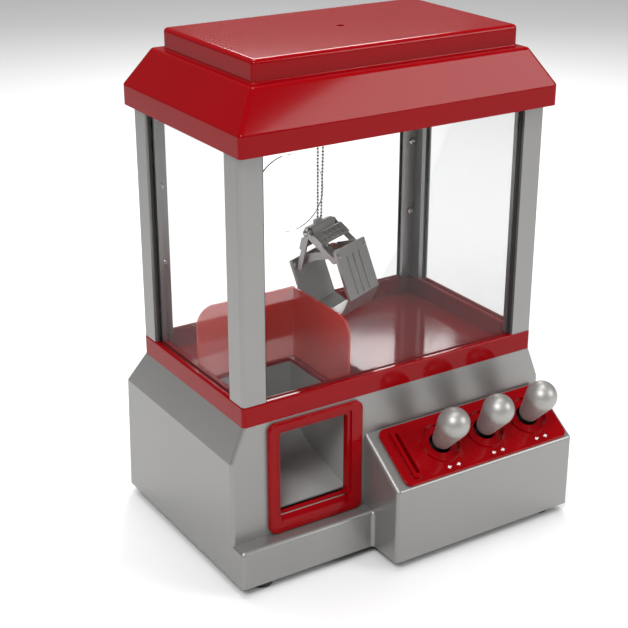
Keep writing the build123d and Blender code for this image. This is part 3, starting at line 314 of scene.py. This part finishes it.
class Graph:
    """The node tree of one material, built from expressions."""

    def __init__(self, name, **constants):
        self.material = bpy.data.materials.new(name)
        self.material.use_nodes = True
        self.tree = self.material.node_tree
        self.surface = self.tree.nodes["Principled BSDF"]
        for key, value in constants.items():
            self.surface.inputs[key.replace("_", " ")].default_value = value

    def put(self, socket, value):
        """Links a signal to a socket, or sets a constant on it."""
        if isinstance(value, Signal):
            self.tree.links.new(value.socket, socket)
        else:
            socket.default_value = value

    def node(self, kind, settings=None, values=None, output=0):
        """A node of any type, with its settings, and its inputs by name or number."""
        made = self.tree.nodes.new(kind)
        for key, value in (settings or {}).items():
            setattr(made, key, value)
        for key, value in (values or {}).items():
            self.put(made.inputs[key], value)
        return Signal(self, made.outputs[output])

    def place(self):
        """Where a point is on the object, in metres."""
        return self.node("ShaderNodeTexCoord", output="Object")

    def noise(self, scale, detail):
        """Smooth noise from 0 to 1."""
        values = {"Vector": self.place(), "Scale": scale, "Detail": detail}
        return self.node("ShaderNodeTexNoise", {"noise_dimensions": "3D"}, values)

    def mix(self, factor, first, second):
        """A colour between two colours."""
        values = {MIX_FACTOR: factor, MIX_FIRST: first, MIX_SECOND: second}
        settings = {"data_type": "RGBA", "clamp_factor": True}
        return self.node("ShaderNodeMix", settings, values, output=MIX_RESULT)

    def feed(self, **signals):
        """Drives inputs of the surface."""
        for key, value in signals.items():
            self.put(self.surface.inputs[key.replace("_", " ")], value)

    def bump(self, height, strength, distance):
        """Turns a height into a change of the normal."""
        values = {"Height": height, "Strength": strength, "Distance": distance}
        self.feed(Normal=self.node("ShaderNodeBump", None, values))


def rgba(tint, scale=1.0):
    """A linear colour as four values, made lighter or darker."""
    return tuple(min(1.0, part * scale) for part in tint) + (1.0,)


def gloss_red():
    """High-gloss moulded red."""
    graph = Graph("gloss_red", Coat_Weight=0.05, Coat_Roughness=0.04, Roughness=0.08)
    graph.surface.inputs["Specular IOR Level"].default_value = 0.12
    tint = tones().red
    cloud = graph.noise(18.0, 3.0)
    graph.feed(Base_Color=graph.mix(cloud, rgba(tint, 0.93), rgba(tint, 1.06)))
    return graph.material


def satin_silver():
    """Silver lacquer with fine metal flake."""
    graph = Graph("satin_silver", Metallic=0.65, Coat_Weight=0.1, Coat_Roughness=0.15)
    tint = tones().silver
    flake = graph.noise(5200.0, 1.0)
    cloud = graph.noise(14.0, 2.0)
    graph.feed(
        Base_Color=graph.mix(flake * 0.7 + cloud * 0.3, rgba(tint, 0.86), rgba(tint, 1.14)),
        Roughness=0.30 + flake * 0.12,
    )
    graph.bump(graph.noise(900.0, 1.0), 0.04, 0.0002)
    return graph.material


def satin_metal(name, tint, metallic, roughness):
    """Painted or plated metal with a little wear in its gloss."""
    graph = Graph(name, Metallic=metallic)
    cloud = graph.noise(160.0, 3.0)
    graph.feed(
        Base_Color=graph.mix(cloud, rgba(tint, 0.9), rgba(tint, 1.1)),
        Roughness=roughness + (cloud - 0.5) * 0.1,
    )
    return graph.material


def plastic(name, tint, roughness):
    """Fine matte moulding."""
    graph = Graph(name, Roughness=roughness)
    cloud = graph.noise(30.0, 3.0)
    graph.feed(Base_Color=graph.mix(cloud, rgba(tint, 0.9), rgba(tint, 1.1)))
    graph.bump(graph.noise(1400.0, 2.0), 0.12, 0.0002)
    return graph.material


def clear_sheet(name, tint, body, edge):
    """Clear plastic: thin face on, denser and brighter at a glance."""
    graph = Graph(name, Roughness=0.06, IOR=1.49)
    glance = graph.node("ShaderNodeLayerWeight", None, {"Blend": 0.35}, output="Fresnel")
    smear = graph.noise(9.0, 2.0)
    graph.feed(
        Base_Color=graph.mix(smear, rgba(tint, 0.96), rgba(tint, 1.0)),
        Alpha=body + glance * edge,
    )
    return graph.material


def circuit_green():
    """Green laminate with copper tracks."""
    graph = Graph("circuit_green", Roughness=0.35)
    values = {"Vector": graph.place(), "Scale": 420.0}
    tracks = graph.node("ShaderNodeTexVoronoi", {"distance": "MANHATTAN"}, values)
    green = (0.01, 0.11, 0.035, 1.0)
    graph.feed(Base_Color=graph.mix(tracks < 0.18, green, (0.30, 0.22, 0.06, 1.0)))
    return graph.material


FINISHES = {
    "silver": satin_silver,
    "red": gloss_red,
    "black_plastic": lambda: plastic("black_plastic", (0.022, 0.022, 0.023), 0.42),
    "white_plastic": lambda: plastic("white_plastic", (0.72, 0.71, 0.67), 0.45),
    "grey": lambda: plastic("grey_plastic", (0.27, 0.268, 0.262), 0.4),
    "rubber": lambda: plastic("rubber", (0.014, 0.014, 0.014), 0.72),
    "cell": lambda: satin_metal("cell_wrap", (0.05, 0.05, 0.07), 0.3, 0.35),
    "steel": lambda: satin_metal("steel", (0.62, 0.62, 0.62), 1.0, 0.24),
    "board": circuit_green,
    "clear_red": lambda: clear_sheet("clear_red", tones().guard, 0.6, 0.3),
    "clear": lambda: clear_sheet("clear_pane", (0.16, 0.17, 0.175), 0.008, 0.2),
    # Painted shade: a darker, denser grey on the panes' sawn edges that stands in for light bent in the edge of
    # the sheet.
    "pane_edge_shade": lambda: clear_sheet("pane_edge_shade", (0.13, 0.14, 0.145), 0.8, 0.2),
    "knob": lambda: satin_metal("knob_metal", tones().knob, 0.6, 0.42),
    "motor": lambda: satin_metal("motor_can", (0.48, 0.48, 0.49), 1.0, 0.34),
    "chain": lambda: satin_metal("chain_bead", (0.66, 0.63, 0.58), 1.0, 0.2),
    "claw": lambda: satin_metal("grab_paint", tones().grab, 0.7, 0.34),
    "copper": lambda: satin_metal("copper_wire", tones().copper, 0.9, 0.36),
    "mark": lambda: plastic("white_mark", (0.78, 0.78, 0.76), 0.5),
}
made_finishes = {}


def finish_of(slot):
    """The finish of a material slot, made once."""
    if slot not in made_finishes:
        made_finishes[slot] = FINISHES[slot]()
    return made_finishes[slot]


def paint(piece, slot):
    """Gives a piece the finish of a material slot."""
    piece.data.materials.clear()
    piece.data.materials.append(finish_of(slot))
    return piece


# ---------------------------------------------------------------- building pieces
def settle(piece, slot, body, *nodes):
    """Links a new piece, paints it, hangs it on its body and retires what it replaces."""
    bpy.context.scene.collection.objects.link(piece)
    paint(piece, slot)
    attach(piece, body)
    if nodes:
        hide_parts(*nodes)
    return piece


def mesh_piece(name, shell, smooth=True):
    """A new object that holds a bmesh; the bmesh is freed."""
    mesh = bpy.data.meshes.new(name)
    bmesh.ops.recalc_face_normals(shell, faces=shell.faces)
    shell.to_mesh(mesh)
    shell.free()
    for face in mesh.polygons:
        face.use_smooth = smooth
    return bpy.data.objects.new(name, mesh)


def softened(piece, edge, limit=BLOCK_ANGLE):
    """Rounds the edges of a piece that turn by more than a limit."""
    bevel = piece.modifiers.new("soft_edges", "BEVEL")
    bevel.width = edge
    bevel.segments = 2
    bevel.limit_method = "ANGLE"
    bevel.angle_limit = limit
    bevel.use_clamp_overlap = True
    bevel.harden_normals = True
    return piece


def refine(node, edge, sharp=35.0):
    """A CAD part with welded faces and softened edges, in place of the plain one."""
    shell = bmesh.new()
    shell.from_mesh(frame["nodes"][node].data)
    bmesh.ops.remove_doubles(shell, verts=shell.verts, dist=WELD)
    bmesh.ops.dissolve_limit(
        shell,
        angle_limit=FLAT_ANGLE,
        verts=shell.verts,
        edges=shell.edges,
        use_dissolve_boundaries=False,
    )
    piece = mesh_piece(node + "_piece", shell)
    softened(piece, edge, math.radians(sharp))
    even = piece.modifiers.new("even_normals", "WEIGHTED_NORMAL")
    even.keep_sharp = True
    return settle(piece, SLOTS[node], body_of(node), node)


def axes(origin, z_axis, x_axis):
    """A placing matrix with its Z and X along two directions square to each other."""
    z = Vector(z_axis).normalized()
    x = Vector(x_axis).normalized()
    turn = Matrix((x, z.cross(x), z)).transposed()
    return Matrix.Translation(Vector(origin)) @ turn.to_4x4()


def lathe(shell, profile, segments, place=Matrix()):
    """Turns a closed run of (radius, height) about Z; ends on the axis close it."""
    rings = []
    for radius, height in profile:
        if radius < ON_AXIS:
            rings.append([shell.verts.new(place @ Vector((0, 0, height)))])
            continue
        ring = []
        for step in range(segments):
            angle = math.tau * step / segments
            spot = Vector((radius * math.cos(angle), radius * math.sin(angle), height))
            ring.append(shell.verts.new(place @ spot))
        rings.append(ring)
    for low, high in zip(rings, rings[1:]):
        for step in range(segments):
            after = (step + 1) % segments
            corners = [
                low[step % len(low)],
                low[after % len(low)],
                high[after % len(high)],
                high[step % len(high)],
            ]
            shell.faces.new(list(dict.fromkeys(corners)))


def block(shell, low, high, place=Matrix()):
    """A box between two corners."""
    low = Vector(low)
    high = Vector(high)
    made = bmesh.ops.create_cube(shell, size=1.0)["verts"]
    for vert in made:
        spot = (low + high) / 2 + Vector(c * s for c, s in zip(vert.co, high - low))
        vert.co = place @ spot


def extruded(shell, outline, depth, place=Matrix()):
    """A flat outline of (x, y) raised by a depth along Z."""
    bottom = [shell.verts.new(place @ Vector((x, y, 0))) for x, y in outline]
    top = [shell.verts.new(place @ Vector((x, y, depth))) for x, y in outline]
    shell.faces.new(bottom[::-1])
    shell.faces.new(top)
    count = len(outline)
    for step in range(count):
        after = (step + 1) % count
        shell.faces.new((bottom[step], bottom[after], top[after], top[step]))


def dome(radius, height, steps=6):
    """The profile of a domed head that stands on its foot."""
    run = [(0.0, 0.0), (radius, 0.0)]
    for step in range(1, steps):
        angle = math.pi / 2 * step / steps
        run.append((radius * math.cos(angle), height * math.sin(angle)))
    return run + [(0.0, height)]


def claw_place():
    """The claw's own frame at its hub: X across it and Z up its tilted axis."""
    hinge = JOINTS["far_jaw_hinge"]
    up = JOINTS["claw_hub_slide"]["axis"]
    return axes(hinge["pos_m"], up, hinge["axis"])


def stick_place(side):
    """A joystick's frame at its pivot: X to the right and Z up the stick."""
    hinge = JOINTS[side + "_joystick_tilt"]
    right = Vector((1, 0, 0))
    return axes(hinge["pos_m"], right.cross(Vector(hinge["axis"])), right)


# ---------------------------------------------------------------- operators
class CraneOperator(bpy.types.Operator):
    """Shared by all the operators of the crane."""

    bl_options = {"REGISTER", "UNDO"}

    def execute(self, context):
        self.make()
        return {"FINISHED"}


class CRANE_OT_stage(CraneOperator):
    """Camera, pale floor and soft studio lights"""

    bl_idname = "crane.stage"
    bl_label = "Stage"

    def make(self):
        settings = bpy.context.scene.crane_stage
        camera = bpy.data.objects.new("camera", bpy.data.cameras.new("camera"))
        camera.data.lens = settings.lens
        camera.data.sensor_width = 36.0
        camera.data.dof.use_dof = False
        camera.location = settings.camera_at
        camera.rotation_euler = settings.camera_turn
        bpy.context.scene.collection.objects.link(camera)
        bpy.context.scene.camera = camera
        self.floor(settings.floor)
        self.world(settings.sky)
        aim = Vector((0, 0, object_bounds()[1].z / 2))
        for name, at, size, power in LIGHTS:
            self.light(name, Vector(at), size, power, aim)

    def floor(self, side):
        """A square of pale floor round the machine."""
        shell = bmesh.new()
        bmesh.ops.create_grid(shell, x_segments=1, y_segments=1, size=side / 2)
        floor = mesh_piece("floor", shell)
        graph = Graph("pale_floor", Roughness=0.6)
        cloud = graph.noise(2.0, 2.0)
        pale = graph.mix(cloud, (0.82, 0.82, 0.82, 1), (0.84, 0.84, 0.84, 1))
        graph.feed(Base_Color=pale)
        floor.data.materials.append(graph.material)
        bpy.context.scene.collection.objects.link(floor)
        floor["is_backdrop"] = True

    def world(self, strength):
        """Even white surroundings."""
        world = bpy.data.worlds.new("studio")
        world.use_nodes = True
        sky = world.node_tree.nodes["Background"]
        sky.inputs["Color"].default_value = (1.0, 1.0, 1.0, 1.0)
        sky.inputs["Strength"].default_value = strength
        bpy.context.scene.world = world
        bpy.context.scene.view_settings.view_transform = "Standard"

    def light(self, name, at, size, power, aim):
        """A square area light turned towards the middle of the machine."""
        lamp = bpy.data.lights.new(name, "AREA")
        lamp.shape = "SQUARE"
        lamp.size = size
        lamp.energy = power
        made = bpy.data.objects.new(name, lamp)
        made.location = at
        made.rotation_euler = (aim - at).to_track_quat("-Z", "Y").to_euler()
        bpy.context.scene.collection.objects.link(made)


class CRANE_OT_finishes(CraneOperator):
    """Finishes on every CAD part that stays"""

    bl_idname = "crane.finishes"
    bl_label = "Finishes"

    def make(self):
        for node, part in frame["nodes"].items():
            paint(part, SLOTS[node])


class CRANE_OT_shells(CraneOperator):
    """Base, deck, door surround, posts and canopy with softened edges"""

    bl_idname = "crane.shells"
    bl_label = "Shells"

    def make(self):
        for node in ("base_housing", "deck_tray", "prize_bezel", "canopy", "prize_chute"):
            refine(node, shape().soft_edge)
        for node in frame["nodes"]:
            if node.endswith("_post"):
                refine(node, shape().soft_edge)


class CRANE_OT_windows(CraneOperator):
    """Panes, guard, clamps and gaskets with polished edges, and painted shade on the panes' sawn edges"""

    bl_idname = "crane.windows"
    bl_label = "Windows"

    def make(self):
        for node in frame["nodes"]:
            if node.endswith("_window"):
                self.edge_on(refine(node, shape().fine_edge))
        refine("chute_guard", shape().soft_edge)
        refine("window_clamps", shape().soft_edge)
        refine("window_gaskets", shape().fine_edge)

    def edge_on(self, pane):
        """Paints shade on the sawn edges of a pane and of its hole: a darker, denser grey that stands in for light
        bent in the sheet, seen through it.
        """
        thin = min(range(3), key=lambda k: pane.dimensions[k])
        pane.data.materials.append(finish_of("pane_edge_shade"))
        for face in pane.data.polygons:
            if abs(face.normal[thin]) < SAWN:
                face.material_index = 1


class CRANE_OT_console(CraneOperator):
    """Sloping panel with its dishes, coin slot and direction arrows"""

    bl_idname = "crane.console"
    bl_label = "Console"

    def make(self):
        refine("control_panel", shape().fine_edge)
        shell = bmesh.new()
        size = shape().arrow
        reach = ARROW_REACH * size
        for side in SIDES:
            place = stick_place(side)
            rise = shape().stick_drop + shape().panel_rise
            for turn in (-1, 1):
                self.arrow(shell, place, turn, reach, rise, size)
        settle(mesh_piece("direction_arrows", shell, False), "mark", "cabinet")

    def arrow(self, shell, place, turn, reach, rise, size):
        """A bare arrow that points left or right, below its joystick."""
        outline = (
            (0.0, size * 0.35),
            (size, size * 0.35),
            (size, size),
            (size * 2.1, 0.0),
            (size, -size),
            (size, -size * 0.35),
            (0.0, -size * 0.35),
        )
        points = [(turn * (x + size * 1.6), y) for x, y in outline]
        centre = place @ Matrix.Translation((0.0, -reach, rise))
        extruded(shell, points, ARROW_DEPTH, centre)


class CRANE_OT_joysticks(CraneOperator):
    """Turned knobs and stems with a collar"""

    bl_idname = "crane.joysticks"
    bl_label = "Joysticks"

    def make(self):
        for side in SIDES:
            self.knob(side)
            refine(side + "_stem", shape().fine_edge)

    def knob(self, side):
        """A ball on a cone that tapers to the neck."""
        low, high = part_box(side + "_knob")
        radius = (high.x - low.x) / 2
        place = stick_place(side)
        pivot = place.translation
        up = place.to_3x3() @ Vector((0, 0, 1))
        reach = (high.z - radius - pivot.z) / up.z
        centre = place @ Matrix.Translation((0, 0, reach))
        neck = shape().knob_neck
        foot = shape().stick_drop + shape().knob_foot - reach
        edge = shape().soft_edge
        profile = [(0.0, foot), (neck - edge, foot), (neck - edge * 0.3, foot + edge * 0.3)]
        cone = -math.asin((radius - neck) / -foot)
        waist = Vector((neck, foot + edge))
        profile.append((waist.x, waist.y))
        touch = Vector((radius * math.cos(cone), radius * math.sin(cone)))
        for step in range(1, CONE_STEPS):
            spot = waist.lerp(touch, step / CONE_STEPS)
            profile.append((spot.x, spot.y))
        for step in range(BALL_STEPS):
            angle = cone + (math.pi / 2 - cone) * step / BALL_STEPS
            profile.append((radius * math.cos(angle), radius * math.sin(angle)))
        profile.append((0.0, radius))
        shell = bmesh.new()
        lathe(shell, profile, shape().segments, centre)
        piece = mesh_piece(side + "_knob_piece", shell)
        settle(piece, "knob", side + "_joystick", side + "_knob")


class CRANE_OT_grab(CraneOperator):
    """Links, hub and jaws of the claw with softened edges, ribs and rivets"""

    bl_idname = "crane.grab"
    bl_label = "Grab"

    def make(self):
        for node in ("claw_yoke", "near_link", "far_link", "claw_hub", "near_jaw", "far_jaw"):
            refine(node, shape().fine_edge, sharp=25.0)
        self.link_ribs()
        self.jaw_lugs()
        self.rivets()

    def link_ribs(self):
        """A grid of ribs on the plate between the near link's two bars."""
        place = claw_place()
        inward = place.inverted()
        node = frame["nodes"]["near_link"]
        half = max((inward @ vert.co).x for vert in node.data.vertices)
        slant = place @ self.along_link()
        low_face = PLATE_FACE - RIB_SINK
        high_face = PLATE_FACE + RIB_RISE
        shell = bmesh.new()
        for run in CROSS_RIBS:
            low = (-half + RIB_MARGIN, run - RIB_HALF, low_face)
            block(shell, low, (half - RIB_MARGIN, run + RIB_HALF, high_face), slant)
        for x in LONG_RIBS:
            low = (x - RIB_HALF, LONG_RIB_START, low_face)
            block(shell, low, (x + RIB_HALF, LONG_RIB_END, high_face), slant)
        piece = softened(mesh_piece("near_link_ribs", shell), shape().fine_edge)
        settle(piece, "claw", "claw")

    def along_link(self):
        """The near link's frame at the yoke's pin: Y down the link, Z out of its plate."""
        pin = Vector((0.0, PIN_UP))
        along = (Vector(LINK_FOOT) - pin).normalized()
        out = Vector((along.y, -along.x))
        if out.x > 0:
            out.negate()
        return Matrix(
            (
                (1, 0, 0, 0),
                (0, along.x, out.x, pin.x),
                (0, along.y, out.y, pin.y),
                (0, 0, 0, 1),
            )
        )

    def jaw_lugs(self):
        """Rounded lugs at the top corners of each jaw's outer plate."""
        place = claw_place()
        turn = Matrix.Rotation(math.pi / 2, 4, "Y")
        profile = [(0.0, -LUG_HALF), (LUG_R, -LUG_HALF), (LUG_R, LUG_HALF), (0.0, LUG_HALF)]
        for side, name in ((-1, "near_jaw"), (1, "far_jaw")):
            shell = bmesh.new()
            for x in (-LUG_X, LUG_X):
                at = Matrix.Translation((x, side * LUG_OUT, LUG_UP))
                lathe(shell, profile, SMALL_TURN, place @ at @ turn)
            piece = softened(mesh_piece(name + "_lugs", shell), shape().fine_edge)
            settle(piece, "claw", name)

    def rivets(self):
        """Domed rivet heads on the yoke's pin."""
        place = claw_place()
        shell = bmesh.new()
        for side in (-1, 1):
            at = Matrix.Translation((side * PIN_HALF, 0.0, PIN_UP))
            turn = Matrix.Rotation(side * math.pi / 2, 4, "Y")
            lathe(shell, dome(RIVET_R, RIVET_RISE), SMALL_TURN, place @ at @ turn)
        settle(mesh_piece("yoke_rivets", shell), "steel", "claw")


class CRANE_OT_spring(CraneOperator):
    """Coppered wire wound in two coils on the hub's pin"""

    bl_idname = "crane.spring"
    bl_label = "Spring"

    def make(self):
        place = claw_place()
        node = frame["nodes"]["claw_spring"]
        inward = place.inverted()
        spots = [inward @ vert.co for vert in node.data.vertices]
        end = max(spot.x for spot in spots)
        start = min(abs(spot.x) for spot in spots)
        wire = shape().wire
        mean = shape().coil - wire
        curve = bpy.data.curves.new("spring_wire", "CURVE")
        curve.dimensions = "3D"
        curve.bevel_depth = wire
        curve.bevel_resolution = 4
        curve.use_fill_caps = True
        length = end - start - 2 * wire
        steps = int(length / (wire * COIL_PITCH)) * TURN_POINTS
        for side in (-1, 1):
            spline = curve.splines.new("POLY")
            spline.points.add(steps)
            for step in range(steps + 1):
                angle = math.tau * step / TURN_POINTS
                x = start + wire + length * step / steps
                spot = Vector((side * x, mean * math.cos(angle), mean * math.sin(angle)))
                spline.points[step].co = (*(place @ spot), 1.0)
        piece = bpy.data.objects.new("spring_wire", curve)
        settle(piece, "copper", "claw_hub", "claw_spring")


class CRANE_OT_chains(CraneOperator):
    """Two strands of bead chain from the drum to the claw"""

    bl_idname = "crane.chains"
    bl_label = "Chains"

    def make(self):
        low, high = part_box("hoist_chains")
        bead = shape().bead
        middle = (low.y + high.y) / 2
        left = low.x + bead
        right = high.x - bead
        foot = left + STRAND_GAP
        shell = bmesh.new()
        for start, end in ((left, left), (foot, right)):
            first = Vector((start, middle, low.z + bead))
            last = Vector((end, middle, high.z - bead))
            self.strand(shell, first, last, bead)
        piece = mesh_piece("bead_chains", shell)
        bpy.context.scene.collection.objects.link(piece)
        paint(piece, "chain")
        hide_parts("hoist_chains")
        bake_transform(piece)

    def strand(self, shell, first, last, bead):
        """Beads on a thin thread from one point to another."""
        run = last - first
        length = run.length
        up = axes(first, run, Vector((0, 1, 0)).cross(run))
        thread = bead * THREAD_R
        core = [(0.0, 0.0), (thread, 0.0), (thread, length), (0.0, length)]
        lathe(shell, core, THREAD_TURN, up)
        profile = []
        for step in range(1, BEAD_STEPS):
            angle = math.pi * (step / BEAD_STEPS - 0.5)
            profile.append((bead * math.cos(angle), bead * math.sin(angle)))
        profile = [(0.0, -bead), *profile, (0.0, bead)]
        count = round(length / shape().bead_pitch)
        for step in range(count + 1):
            centre = up @ Matrix.Translation((0, 0, length * step / count))
            lathe(shell, profile, BEAD_TURN, centre)


class CRANE_OT_screws(CraneOperator):
    """Turned pan heads with a round recess on the clamps; softened screws under the canopy and the bottom"""

    bl_idname = "crane.screws"
    bl_label = "Screws"

    def make(self):
        self.heads("clamp_screws")
        refine("canopy_screws", shape().fine_edge)
        refine("bottom_screws", shape().fine_edge)

    def heads(self, node):
        """Replaces each plain screw along Y by a turned one with a domed, recessed head."""
        middle = (AT_LOAD[0].y + AT_LOAD[1].y) / 2
        shell = bmesh.new()
        for low, high in self.islands(node):
            centre = (low + high) / 2
            inward = -1.0 if centre.y > middle else 1.0
            tip = Vector((centre.x, low.y if inward > 0 else high.y, centre.z))
            place = axes(tip, (0, inward, 0), (1, 0, 0))
            lathe(shell, self.pan_head(high.y - low.y), HEAD_TURN, place)
        settle(mesh_piece(node + "_piece", shell), "steel", body_of(node), node)

    def pan_head(self, length):
        """The profile of a screw from its tip to the recess in its head."""
        foot = length - HEAD_RISE
        return [
            (0.0, 0.0),
            (SHANK_R * 0.8, 0.0),
            (SHANK_R, SHANK_R * 0.4),
            (SHANK_R, foot),
            (HEAD_R, foot),
            (HEAD_R, foot + HEAD_RISE * 0.35),
            (HEAD_R * 0.86, foot + HEAD_RISE * 0.8),
            (HEAD_R * 0.5, length),
            (HEAD_R * 0.34, length),
            (HEAD_R * 0.2, foot + HEAD_RISE * 0.4),
            (0.0, foot + HEAD_RISE * 0.3),
        ]

    def islands(self, node):
        """The box of each separate solid of a node."""
        shell = bmesh.new()
        shell.from_mesh(frame["nodes"][node].data)
        bmesh.ops.remove_doubles(shell, verts=shell.verts, dist=WELD)
        seen = set()
        for start in shell.verts:
            if start in seen:
                continue
            seen.add(start)
            found = [start]
            for vert in found:
                for edge in vert.link_edges:
                    other = edge.other_vert(vert)
                    if other not in seen:
                        seen.add(other)
                        found.append(other)
            spots = [vert.co for vert in found]
            low = Vector(min(spot[k] for spot in spots) for k in range(3))
            high = Vector(max(spot[k] for spot in spots) for k in range(3))
            yield low, high
        shell.free()


class CRANE_OT_carriage(CraneOperator):
    """Rails, threaded lead screws, bridge, trolley, drum and motors"""

    bl_idname = "crane.carriage"
    bl_label = "Carriage"

    def make(self):
        for node in (
            "ceiling_plate",
            "bridge_rails",
            "bridge_motor",
            "bridge_frame",
            "span_rods",
            "trolley_motor",
            "trolley_frame",
            "hoist_motor",
            "grip_motor",
            "hoist_drum",
        ):
            refine(node, shape().soft_edge)
        self.thread("bridge_screw", 0)
        self.thread("trolley_screw", 1)

    def thread(self, node, axis):
        """A lead screw with its thread cut into the plain rod."""
        low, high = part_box(node)
        length = high[axis] - low[axis]
        radius = (high.z - low.z) / 2
        start = (low + high) / 2
        start[axis] = low[axis]
        way = Vector((0, 0, 0))
        way[axis] = 1.0
        place = axes(start, way, (0, 0, 1))
        pitch = shape().thread_pitch
        rows = int(length / pitch * ROWS_PER_PITCH)
        shell = bmesh.new()
        rings = []
        for row in range(rows + 1):
            height = length * row / rows
            ring = []
            for step in range(SCREW_TURN):
                angle = math.tau * step / SCREW_TURN
                phase = (height / pitch + step / SCREW_TURN) % 1.0
                cut = shape().thread_depth * (0.5 - 0.5 * math.cos(math.tau * phase))
                reach = radius - cut
                spot = Vector((reach * math.cos(angle), reach * math.sin(angle), height))
                ring.append(shell.verts.new(place @ spot))
            rings.append(ring)
        for below, above in zip(rings, rings[1:]):
            for step in range(SCREW_TURN):
                after = (step + 1) % SCREW_TURN
                shell.faces.new((below[step], below[after], above[after], above[step]))
        shell.faces.new(rings[0][::-1])
        shell.faces.new(rings[-1])
        settle(mesh_piece(node + "_piece", shell), "steel", body_of(node), node)


class CRANE_OT_underside(CraneOperator):
    """Feet, bottom plate, battery bay, board, speaker, switch and coin works"""

    bl_idname = "crane.underside"
    bl_label = "Underside"

    def make(self):
        for node in (
            "rubber_feet",
            "bottom_plate",
            "battery_door",
            "battery_tray",
            "batteries",
            "circuit_board",
            "speaker",
            "power_switch",
            "coin_chute",
            "coin_lever",
            "joystick_brackets",
        ):
            refine(node, shape().fine_edge)


OPERATORS = (
    CRANE_OT_stage,
    CRANE_OT_finishes,
    CRANE_OT_shells,
    CRANE_OT_windows,
    CRANE_OT_console,
    CRANE_OT_joysticks,
    CRANE_OT_grab,
    CRANE_OT_spring,
    CRANE_OT_chains,
    CRANE_OT_screws,
    CRANE_OT_carriage,
    CRANE_OT_underside,
)


class CRANE_PT_tools(bpy.types.Panel):
    """Lists the crane's operators in the sidebar"""

    bl_idname = "CRANE_PT_tools"
    bl_label = "Claw Crane"
    bl_space_type = "VIEW_3D"
    bl_region_type = "UI"
    bl_category = "Crane"

    def draw(self, context):
        for operator in OPERATORS:
            self.layout.operator(operator.bl_idname)


GROUPS = {
    "crane_shape": CraneShape,
    "crane_finish": CraneFinish,
    "crane_stage": CraneStage,
}


def register():
    for group in GROUPS.values():
        bpy.utils.register_class(group)
    for name, group in GROUPS.items():
        setattr(bpy.types.Scene, name, PointerProperty(type=group))
    for operator in OPERATORS:
        bpy.utils.register_class(operator)
    bpy.utils.register_class(CRANE_PT_tools)


def unregister():
    bpy.utils.unregister_class(CRANE_PT_tools)
    for operator in reversed(OPERATORS):
        bpy.utils.unregister_class(operator)
    for name, group in GROUPS.items():
        delattr(bpy.types.Scene, name)
        bpy.utils.unregister_class(group)


def main():
    """Builds everything in order."""
    register()
    for operator in OPERATORS:
        family, name = operator.bl_idname.split(".")
        getattr(getattr(bpy.ops, family), name)()


if __name__ == "__main__":
    main()
